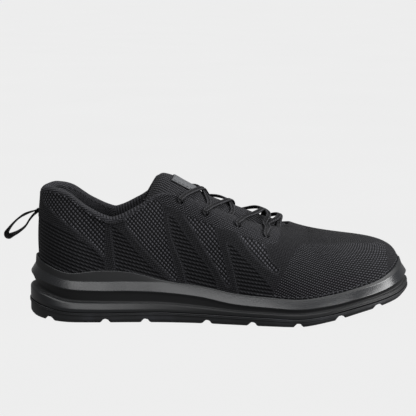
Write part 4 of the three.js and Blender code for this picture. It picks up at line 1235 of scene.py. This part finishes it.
def tongue_arch(at, across):
    """Top face of the tongue between the throat's edges, across from -1 to 1."""
    at, across = np.broadcast_arrays(np.asarray(at, float), np.asarray(across, float))
    outer = inner_shell(at, np.ones(at.shape), TONGUE_CLEARANCE)
    inner = inner_shell(LOOP - at, np.ones(at.shape), TONGUE_CLEARANCE)
    middle = (outer[..., 1] + inner[..., 1]) / 2
    crest = vectors(along_to_x(tongue_column(1, at)), middle, tongue_column(2, at) * COLLAR_HEIGHT)
    edge = np.where((across < 0)[..., None], outer, inner)
    share = np.abs(across)[..., None]
    arch = crest + (edge - crest) * share**2
    arch[..., 1] = crest[..., 1] + (edge[..., 1] - crest[..., 1]) * share[..., 0]
    return arch


def under_shell(at, distance):
    at, distance = np.broadcast_arrays(np.asarray(at, float), np.asarray(distance, float))
    return inner_shell(at, up_below_rim(at, distance), TONGUE_CLEARANCE)


def tongue_row(at):
    lap = tongue_column(3, at) * TONGUE_LAP
    shares = np.array(FLANK)
    left = under_shell(at, lap * (1 - shares))
    arch = tongue_arch(at, np.linspace(-1, 1, 2 * ARCH + 1))
    right = under_shell(LOOP - at, lap * (1 - shares[::-1]))
    return np.concatenate([left, arch, right])


def tongue_front(at, tuck):
    toe = ROWS - 1
    shares = np.array(FLANK)
    left = under_shell(at, TONGUE_LAP + (tuck - TONGUE_LAP) * shares)
    arch = under_shell(toe + (toe - at) * np.linspace(-1, 1, 2 * ARCH + 1), tuck)
    right = under_shell(LOOP - at, TONGUE_LAP + (tuck - TONGUE_LAP) * shares[::-1])
    return np.concatenate([left, arch, right])


def grid_normals(grid):
    down = np.gradient(grid, axis=0)
    across = np.gradient(grid, axis=1)
    return unit(np.cross(down, across))


def puffed_sheet(grid, thickness, lift=0.0):
    """A padded sheet under a grid of points, with its edges rounded to nothing."""
    normals = grid_normals(grid)
    half = thickness / 2
    spine = np.diff(grid[:, grid.shape[1] // 2], axis=0)
    rows = np.concatenate([[0], np.cumsum(np.linalg.norm(spine, axis=-1))])
    columns = np.linalg.norm(np.diff(grid, axis=1), axis=-1)
    from_left = np.concatenate([np.zeros((len(grid), 1)), np.cumsum(columns, 1)], 1)
    from_right = from_left[:, -1:] - from_left
    edge = np.minimum(from_left, from_right)
    edge = np.minimum(edge, rows[:, None])
    edge = np.minimum(edge, (rows[-1] - rows)[:, None])
    share = np.clip(edge / half, 0, 1)
    thick = half * np.sqrt(1 - (1 - share) ** 2)
    middle = grid + normals * (lift - half)
    top = middle + normals * thick[..., None]
    bottom = middle - normals * thick[..., None]
    size = grid.shape[1]
    points = np.concatenate([top.reshape(-1, 3), bottom.reshape(-1, 3)])
    faces = list(grid_faces(len(grid), size))
    faces += list(grid_faces(len(grid), size, len(grid) * size, flip=True))
    cloth = np.stack([np.repeat(rows[:, None], size, 1), from_left, 0 * from_left], -1).reshape(-1, 3)
    return points, faces, np.concatenate([cloth, cloth])


def weld(piece):
    """Joins points that lie on each other."""
    work = bmesh.new()
    work.from_mesh(piece.data)
    bmesh.ops.remove_doubles(work, verts=work.verts, dist=1e-6)
    work.to_mesh(piece.data)
    work.free()


def make_tongue():
    first, last = TONGUE_ROWS[0, 0] - TONGUE_TIP_ROUND, TONGUE_ROWS[-1, 0]
    shares = np.linspace(0, 1, TONGUE_STEPS)
    rows = [tongue_row(first + (last - first) * (0.35 * s * s + 0.65 * s)) for s in shares]
    for ahead, tuck in TONGUE_FRONTS:
        target = tongue_front(last + ahead, tuck * TONGUE_TUCK)
        start = rows[-1]
        rows += [start + (target - start) * t for t in np.linspace(0, 1, 9)[1:]]
    grid = np.array(rows)
    points, faces, cloth = puffed_sheet(grid, TONGUE_WALL)
    count = len(cloth)
    none = np.full(count, OUTSIDE)
    values = {
        "weave": cloth,
        "side": cloth,
        "girth": cloth,
        "mesh_zone": none,
        "rib_zone": none,
        "twill_zone": none,
        "toe_zone": np.full(count, INSIDE),
        "top_zone": none,
        "collar_zone": none,
        "lining_zone": none,
    }
    piece = make_piece("padded_tongue", points, faces, "tongue", KNIT, values)
    weld(piece)
    return piece


make_tongue()

# %% [markdown]
# Label
# A small plain woven label is sewn over the tongue below its tip. It is a thin sheet with rounded
# edges, laid over the tongue's own face.

# %% Make the label
LABEL_WIDTH = 22
LABEL_LENGTH = 21
LABEL_THICKNESS = 0.9
LABEL_START = 12.5


def tongue_at_distance(distance):
    """Sections at distances down the tongue's crest from its tip."""
    ats = np.linspace(TONGUE_ROWS[0, 0], TONGUE_ROWS[-1, 0], 400)
    crest = tongue_arch(ats, np.zeros(400))
    travelled = np.concatenate([[0], np.cumsum(np.linalg.norm(np.diff(crest, axis=0), axis=-1))])
    return np.interp(distance, travelled, ats)


def make_label():
    ats = tongue_at_distance(LABEL_START + LABEL_LENGTH * np.linspace(0, 1, 24))
    rows = []
    for at in ats:
        throat = tongue_arch(at, 1.0)[1] - tongue_arch(at, -1.0)[1]
        rows.append(tongue_arch(at, np.linspace(-1, 1, 25) * LABEL_WIDTH / throat))
    points, faces, cloth = puffed_sheet(np.array(rows), LABEL_THICKNESS, lift=GAP + LABEL_THICKNESS)
    piece = make_piece("woven_label", points, faces, "tongue_label", TAPE, {"cloth": cloth})
    weld(piece)
    return piece


make_label()

# %% [markdown]
# Laces
# The lace is one flat braided cord that crosses the tongue and dives through the eyelets. Curves with
# a bevel would twist at the tight bends, so each strand is swept by hand: an oval section with two
# ridges follows a route of given places, and leans with the surface that it lies on. Where two
# strands cross, the outer side's strand lies on top.

# %% Make the laces
LACE_WIDTH = 4.2
LACE_THICKNESS = 2.2
LACE_BRIDGE = 1.6
LACE_DIVE = 0.76
LACE_LIFT = LACE_THICKNESS / 2 + GAP
LACE_OVER = 0.9
# inner side, from eyelet, over the edge at, finish at, to eyelet, hump
CROSSINGS = [
    [(False, 0, 7.75, 8.6, None, 1), (True, 0, 7.75, 8.64, None, 1)],
    [(False, 1, 8.85, 9.5, None, 1), (True, 1, 8.7, 9.5, None, 1.2)],
    [
        (False, 2, 10.1, 10.8, None, 2.1),
        (True, 2, 9.95, 11.1, 3, 2.9),
        (False, 3, 11.25, 11.6, None, 2),
        (True, None, 11.1, 11.9, None, 2.6),
    ],
]
LACE_SIDES = 30
LACE_STEPS = 90
# where a strand stands over the tongue: its share of the way along, and its place across
STRAND_START = (0.28, -0.52)
STRAND_CREST = (0.55, 0)
STRAND_DIVE = (0.8, 0.42)
STRAND_LANDING = (0.78, 0.52)


def over_shell(at, distance, lift=LACE_LIFT):
    up = up_below_rim(at, distance)
    out = shell_frame(at, up)[1]
    return shell(at, up) + out * lift, out


def over_tongue(at, across, lift):
    side = tongue_arch(at, across + STEP) - tongue_arch(at, across - STEP)
    down = tongue_arch(at + STEP, across) - tongue_arch(at - STEP, across)
    out = unit(np.cross(down, side))
    return tongue_arch(at, across) + out * (LACE_LIFT + lift), out


def strand_way(inner, source, over, finish, target, hump):
    """Places that a strand runs through, each with the direction out of what it lies on."""

    def own(at):
        return LOOP - at if inner else at

    def other(at):
        return LOOP - own(at)

    sign = -1 if inner else 1
    on_top = -0.35 if inner else LACE_OVER
    bridge = LACE_BRIDGE * hump

    def across_tongue(place, lift):
        share, across = place
        return over_tongue(over + (finish - over) * share, sign * across, lift)

    def into_eyelet(number, side, edge):
        """From half way between the throat's edge and an eyelet down through its hole."""
        at, back = EYELETS[number]
        hole = back * EYELET_SETBACK
        return [
            over_shell(side((at + edge) / 2), (hole - EYELET_BORE / 4) / 2),
            over_shell(side(at), hole - EYELET_BORE / 3, LACE_LIFT * 0.75),
            over_shell(side(at), hole + 0.3, -0.9),
            over_shell(side(at), hole + 0.6, -UPPER_WALL - 1.2),
        ]

    way = [] if source is None else into_eyelet(source, own, over)[::-1]
    way.append(over_shell(own(over), 0))
    way.append(across_tongue(STRAND_START, bridge + on_top * 0.5))
    way.append(across_tongue(STRAND_CREST, bridge * min(0.8, 0.4 * hump) + on_top))
    if target is None:
        way.append(across_tongue(STRAND_DIVE, on_top * 0.3))
        way.append(over_tongue(finish, sign * LACE_DIVE, -0.3))
        way.append(over_tongue(finish + 0.02, sign * 0.97, -0.9))
        return way
    way.append(across_tongue(STRAND_LANDING, bridge))
    way.append(over_shell(other(finish), 0))
    return way + into_eyelet(target, other, finish)


def smooth_path(points, count):
    """Points spread evenly over a smooth curve through the given ones."""
    points = np.asarray(points, float)
    ends = np.concatenate([[2 * points[0] - points[1]], points, [2 * points[-1] - points[-2]]])
    gaps = np.linalg.norm(np.diff(ends[:, :3], axis=0), axis=-1)
    stops = np.concatenate([[0], np.cumsum(np.sqrt(gaps) + 1e-6)])
    dense = []
    for i in range(1, len(ends) - 2):
        for t in np.linspace(stops[i], stops[i + 1], 24, endpoint=False):
            k, p = stops[i - 1 : i + 3], ends[i - 1 : i + 3]
            a = [p[j] + (p[j + 1] - p[j]) * (t - k[j]) / (k[j + 1] - k[j]) for j in range(3)]
            b = [a[j] + (a[j + 1] - a[j]) * (t - k[j]) / (k[j + 2] - k[j]) for j in range(2)]
            dense.append(b[0] + (b[1] - b[0]) * (t - k[1]) / (k[2] - k[1]))
    dense = np.array(dense + [points[-1]])
    travelled = np.concatenate([[0], np.cumsum(np.linalg.norm(np.diff(dense[:, :3], axis=0), axis=-1))])
    even = np.linspace(0, travelled[-1], count)
    return np.stack([np.interp(even, travelled, dense[:, c]) for c in range(dense.shape[1])], -1), even


def sweep(places, leans, section, count, start):
    """A closed strip whose section leans with the given directions."""
    path, along = smooth_path(np.concatenate([places, leans], 1), count)
    centre, lean = path[:, :3], path[:, 3:]
    tangent = unit(np.gradient(centre, axis=0))
    side = unit(np.cross(tangent, lean))
    out = unit(np.cross(side, tangent))
    sides = len(section)
    rings = centre[:, None] + side[:, None] * section[None, :, :1] + out[:, None] * section[None, :, 1:]
    faces = list(ring_faces(count, sides, start)[:, ::-1])
    faces.append(tuple(start + i for i in range(sides)))
    faces.append(tuple(start + (count - 1) * sides + i for i in reversed(range(sides))))
    around_way = np.concatenate([[0], np.cumsum(np.linalg.norm(np.diff(section, axis=0), axis=-1))])
    cloth = np.stack(np.broadcast_arrays(along[:, None], around_way[None, :], 0.0), -1)
    return rings.reshape(-1, 3), faces, cloth.reshape(-1, 3), along[-1]


# places of the cord's two upper ridges round its section, in degrees, and how wide they are
LACE_RIDGES_AT = (48, 132)
LACE_RIDGE = math.radians(15)


def lace_ridges():
    """How near each side of the cord's section lies to one of its two upper ridges."""
    angle = np.linspace(0, 360, LACE_SIDES, endpoint=False)
    off = np.min([np.abs(angle - place) for place in LACE_RIDGES_AT], 0)
    return np.exp(-((np.radians(off) / LACE_RIDGE) ** 2))


def lace_section():
    angle = np.linspace(0, 2 * math.pi, LACE_SIDES, endpoint=False)
    ridged = 0.8 + 0.25 * np.abs(np.sin(2 * angle))
    return np.stack([np.cos(angle) * LACE_WIDTH / 2, np.sin(angle) * ridged * LACE_THICKNESS / 2], -1)


def make_lace(number, strands):
    points, faces, cloth = [], [], []
    length = 0
    count = 0
    for strand in strands:
        way = strand_way(*strand)
        places = np.array([p for p, _ in way])
        leans = np.array([o for _, o in way])
        new_points, new_faces, new_cloth, run = sweep(places, leans, lace_section(), LACE_STEPS, count)
        points.append(new_points)
        faces += new_faces
        cloth.append(new_cloth)
        count += len(new_points)
        length += run
    name = f"lace_{number}"
    # the two upper ridges, where a highlight is painted into the cord's colour
    ridge = np.tile(lace_ridges(), LACE_STEPS * len(strands))
    values = {"cloth": np.concatenate(cloth), "ridge": ridge}
    piece = make_piece(f"braided_{name}", np.concatenate(points), faces, name, CORD, values)
    print(f"{name}: {length:.0f} mm of cord shows")
    return piece


for number, strands in enumerate(CROSSINGS, 1):
    make_lace(number, strands)

# %% [markdown]
# Pull loop
# A ribbon of webbing is folded in two and sewn to the heel, to pull the shoe on. It stands off the
# heel and droops a little. It is swept like the lace, with a flat section that turns slightly.

# %% Make the pull loop
LOOP_WIDTH = 9
LOOP_THICKNESS = 1.4
LOOP_LENGTH = 32
LOOP_SPREAD = 8.5
LOOP_HEIGHT = 82.5
LOOP_DROOP = math.radians(39.5)
LOOP_SEAT = 1.2
LOOP_TWIST = math.radians(14)
# how much of its twist the webbing has along its way out, on the upper and on the lower run
LOOP_TURN_AT = [0, 0.25, 0.55, 0.8, 1]
LOOP_TURN = [0.3, 0.9, 0.2, 0.6, 1.2]
LOOP_TURN_LOW = [0.3, 0.2, 0.15, 0.6, 1.2]
# out, high, low
LOOP_ROWS = [
    (0, 0.09, -0.07),
    (0.13, 0.3, -0.06),
    (0.28, 0.48, -0.17),
    (0.48, 0.57, -0.4),
    (0.68, 0.52, -0.4),
    (0.84, 0.4, -0.28),
    (0.95, 0.25, -0.16),
]


def make_pull_loop():
    root = shell(0.0, up_at_height(0.0, LOOP_HEIGHT)) - np.array([LOOP_SEAT, 0, 0])
    sewn = -(LOOP_SEAT + 0.4) / LOOP_LENGTH
    out = np.array([-math.cos(LOOP_DROOP), 0, -math.sin(LOOP_DROOP)])
    high = np.array([-math.sin(LOOP_DROOP), 0, math.cos(LOOP_DROOP)])
    route = [(sewn * LOOP_LENGTH, LOOP_THICKNESS * 0.6)]
    route += [(o * LOOP_LENGTH, h * LOOP_SPREAD) for o, h, _ in LOOP_ROWS]
    route.append((LOOP_LENGTH - LOOP_THICKNESS / 2, 0))
    route += [(o * LOOP_LENGTH, low * LOOP_SPREAD) for o, _, low in reversed(LOOP_ROWS)]
    route.append((sewn * LOOP_LENGTH, -LOOP_THICKNESS * 0.6))
    route = np.array(route)
    places = root + route[:, :1] * out + route[:, 1:] * high
    middle = np.array([LOOP_LENGTH * 0.5, 0.0])
    leans = []
    for x, y in route:
        # the lean along the route fades to nothing at the root, where the webbing lies on the heel
        forward = 0.25 * np.clip(x / LOOP_LENGTH, 0, 1) ** 2
        away = np.array([(x - middle[0]) * forward, y - middle[1]])
        away = away / max(np.linalg.norm(away), 1e-6)
        turns = LOOP_TURN if y > 0 else LOOP_TURN_LOW
        turn = LOOP_TWIST * np.interp(x / LOOP_LENGTH, LOOP_TURN_AT, turns)
        lean = away[0] * out + away[1] * high
        leans.append(lean * math.cos(turn) + np.array([0, math.sin(turn), 0]))
    half = LOOP_WIDTH / 2
    thick = LOOP_THICKNESS / 2
    angle = np.linspace(0, 2 * math.pi, 24, endpoint=False)
    flat_oval = np.stack(
        [
            np.sign(np.cos(angle)) * np.abs(np.cos(angle)) ** 0.35 * half,
            np.sign(np.sin(angle)) * np.abs(np.sin(angle)) ** 0.5 * thick,
        ],
        -1,
    )
    points, faces, cloth, run = sweep(places, np.array(leans), flat_oval, 120, 0)
    values = {"cloth": cloth}
    piece = make_piece("webbing_pull_loop", points, faces, "pull_loop", WEBBING, values)
    print(f"pull loop: {run:.0f} mm of webbing")
    return piece


make_pull_loop()

# %% [markdown]
# Stitching
# A line of sewing closes the upper to the sole's rim round the toe, and the label is sewn down along
# its sides. Each stitch is a small rounded grain of thread. They are worked out along their seams and
# joined into one mesh a seam.

# %% Make the stitches
STITCH_LENGTH = 2.6
STITCH_GAP = 0.9
STITCH_RADIUS = 0.32
STITCH_SINK = 0.3
STITCH_SIDES = 8


def stitch_mesh(name, starts, ends, outs, material=THREAD):
    """Grains of thread from each start to its end."""
    points, faces, cloth = [], [], []
    shares = np.array([(0, 0.3), (0.12, 0.8), (0.5, 1), (0.88, 0.8), (1, 0.3)])
    angles = np.linspace(0, 2 * math.pi, STITCH_SIDES, endpoint=False)
    for start, end, out in zip(starts, ends, outs):
        along = unit(end - start)
        side = unit(np.cross(along, out))
        count = sum(len(p) for p in points)
        rings = []
        for share, size in shares:
            centre = start + (end - start) * share + out * STITCH_RADIUS * (size - STITCH_SINK)
            ring = np.cos(angles)[:, None] * side + np.sin(angles)[:, None] * out
            rings.append(centre + ring * STITCH_RADIUS * size)
        points.append(np.concatenate(rings))
        last = count + (len(rings) - 1) * STITCH_SIDES
        faces += list(ring_faces(len(rings), STITCH_SIDES, count)[:, ::-1])
        faces.append(tuple(count + i for i in range(STITCH_SIDES)))
        faces.append(tuple(last + i for i in reversed(range(STITCH_SIDES))))
        steps = np.repeat(shares[:, 0] * STITCH_LENGTH, STITCH_SIDES)
        cloth.append(np.stack([steps, np.tile(angles, len(rings)), 0 * steps], -1))
    values = {"cloth": np.concatenate(cloth)}
    return make_piece(name, np.concatenate(points), faces, None, material, values)


def stitch_line(path, outs):
    """Starts, ends and outward directions of stitches along a line of close points."""
    travelled = np.concatenate([[0], np.cumsum(np.linalg.norm(np.diff(path, axis=0), axis=-1))])
    firsts = np.arange(0, travelled[-1] - STITCH_LENGTH, STITCH_LENGTH + STITCH_GAP)

    def at(values, distance):
        return np.stack([np.interp(distance, travelled, values[:, c]) for c in range(3)], -1)

    return at(path, firsts), at(path, firsts + STITCH_LENGTH), unit(at(outs, firsts + STITCH_LENGTH / 2))


RIM_STITCH_FROM = 8.6
RIM_STITCH_LIFT = 1.3


def make_rim_stitches():
    at = np.linspace(RIM_STITCH_FROM, LOOP - RIM_STITCH_FROM, 900)
    up = up_at_height(at, sole_height("flange", at) + RIM_STITCH_LIFT)
    out = shell_frame(at, up)[1]
    return stitch_mesh("rim_stitches", *stitch_line(shell(at, up) + out * 0.05, out))


def make_label_stitches():
    starts, ends, outs = [], [], []
    for side in (-1, 1):
        ats = tongue_at_distance(LABEL_START + LABEL_LENGTH * np.linspace(0.08, 0.92, 60))
        throat = tongue_arch(ats, np.ones(60))[:, 1] - tongue_arch(ats, -np.ones(60))[:, 1]
        share = side * (LABEL_WIDTH - 3) / throat
        places = [over_tongue(at, s, GAP + LABEL_THICKNESS - LACE_LIFT) for at, s in zip(ats, share)]
        path = np.array([p for p, _ in places])
        out = np.array([o for _, o in places])
        for total, part in zip((starts, ends, outs), stitch_line(path, out)):
            total.append(part)
    joined = [np.concatenate(part) for part in (starts, ends, outs)]
    return stitch_mesh("label_stitches", *joined, material=TAPE)


make_rim_stitches()
make_label_stitches()

# %% [markdown]
# Floor and light
# Product photographs of black shoes are made on a lit white table, so that no shadow falls under the
# sole, with the white sweep behind lit by lamps of its own. The shoe gets softer light from a large
# panel overhead. Three smaller panels stand where the sole's sloping band mirrors them to the camera:
# one for the band's middle, one for the ball and one for the toe, and they draw its pale line. The
# table and the sweep are brighter to the camera than they are to the shoe.

# %% Set the stage
SWEEP_COLOUR = "#ededed"
ROOM_LIGHT = 0.3
TABLE_LIGHT = 0.3
scene.view_settings.view_transform = "Standard"
scene.view_settings.look = "None"


def make_floor():
    size = 20
    mesh = bpy.data.meshes.new("lit_table")
    corners = [(-size, -size, 0), (size, -size, 0), (size, size, 0), (-size, size, 0)]
    mesh.from_pydata(corners, [], [(0, 1, 2, 3)])
    floor = bpy.data.objects.new("lit_table", mesh)
    scene.collection.objects.link(floor)
    material, tree, shader = new_material("lit_acrylic_table", "#0a0a0a", 0.9, Specular_IOR_Level=0.0)
    cloud = add(tree, "ShaderNodeTexNoise", {"Vector": millimetres(tree), "Scale": 0.004, "Detail": 1.0})
    white = mix_colour(tree, cloud, linear("#ececec"), linear("#eeeeee"))
    tree.links.new(white, shader.inputs["Emission Color"])
    seen = add(tree, "ShaderNodeLightPath", out=0)
    tree.links.new(mix_value(tree, seen, TABLE_LIGHT, 1.0), shader.inputs["Emission Strength"])
    mesh.materials.append(material)
    return floor


def add_panel(name, place, size, energy, aim=(0.1, 0, 0.05)):
    """A soft light panel that faces the shoe."""
    light = bpy.data.lights.new(name, "AREA")
    light.shape = "RECTANGLE"
    light.size, light.size_y = size
    light.energy = energy
    panel = bpy.data.objects.new(name, light)
    panel.location = place
    direction = Vector(place) - Vector(aim)
    panel.rotation_euler = direction.to_track_quat("Z", "Y").to_euler()
    scene.collection.objects.link(panel)
    return panel


make_floor()
world = bpy.data.worlds.new("white_sweep")
world.use_nodes = True
background = world.node_tree.nodes["Background"]
background.inputs["Color"].default_value = linear(SWEEP_COLOUR)
seen_sweep = add(world.node_tree, "ShaderNodeLightPath", out=0)
sweep_light = mix_value(world.node_tree, seen_sweep, ROOM_LIGHT, 1.0)
world.node_tree.links.new(sweep_light, background.inputs["Strength"])
scene.world = world
# name, place, size, energy and aim, in metres and watts
add_panel("top_panel", (0.12, -0.1, 1.1), (1.5, 0.9), 13)
add_panel("band_panel", (-0.18, -1.0, 1.1), (0.54, 0.45), 3.4, aim=(0.1, 0, 0.03))
add_panel("ball_panel", (0.52, -1.0, 1.1), (0.2, 0.4), 2, aim=(0.2, 0, 0.03))
add_panel("toe_panel", (1.16, -0.42, 0.58), (0.95, 0.62), 24, aim=(0.22, 0, 0.03))
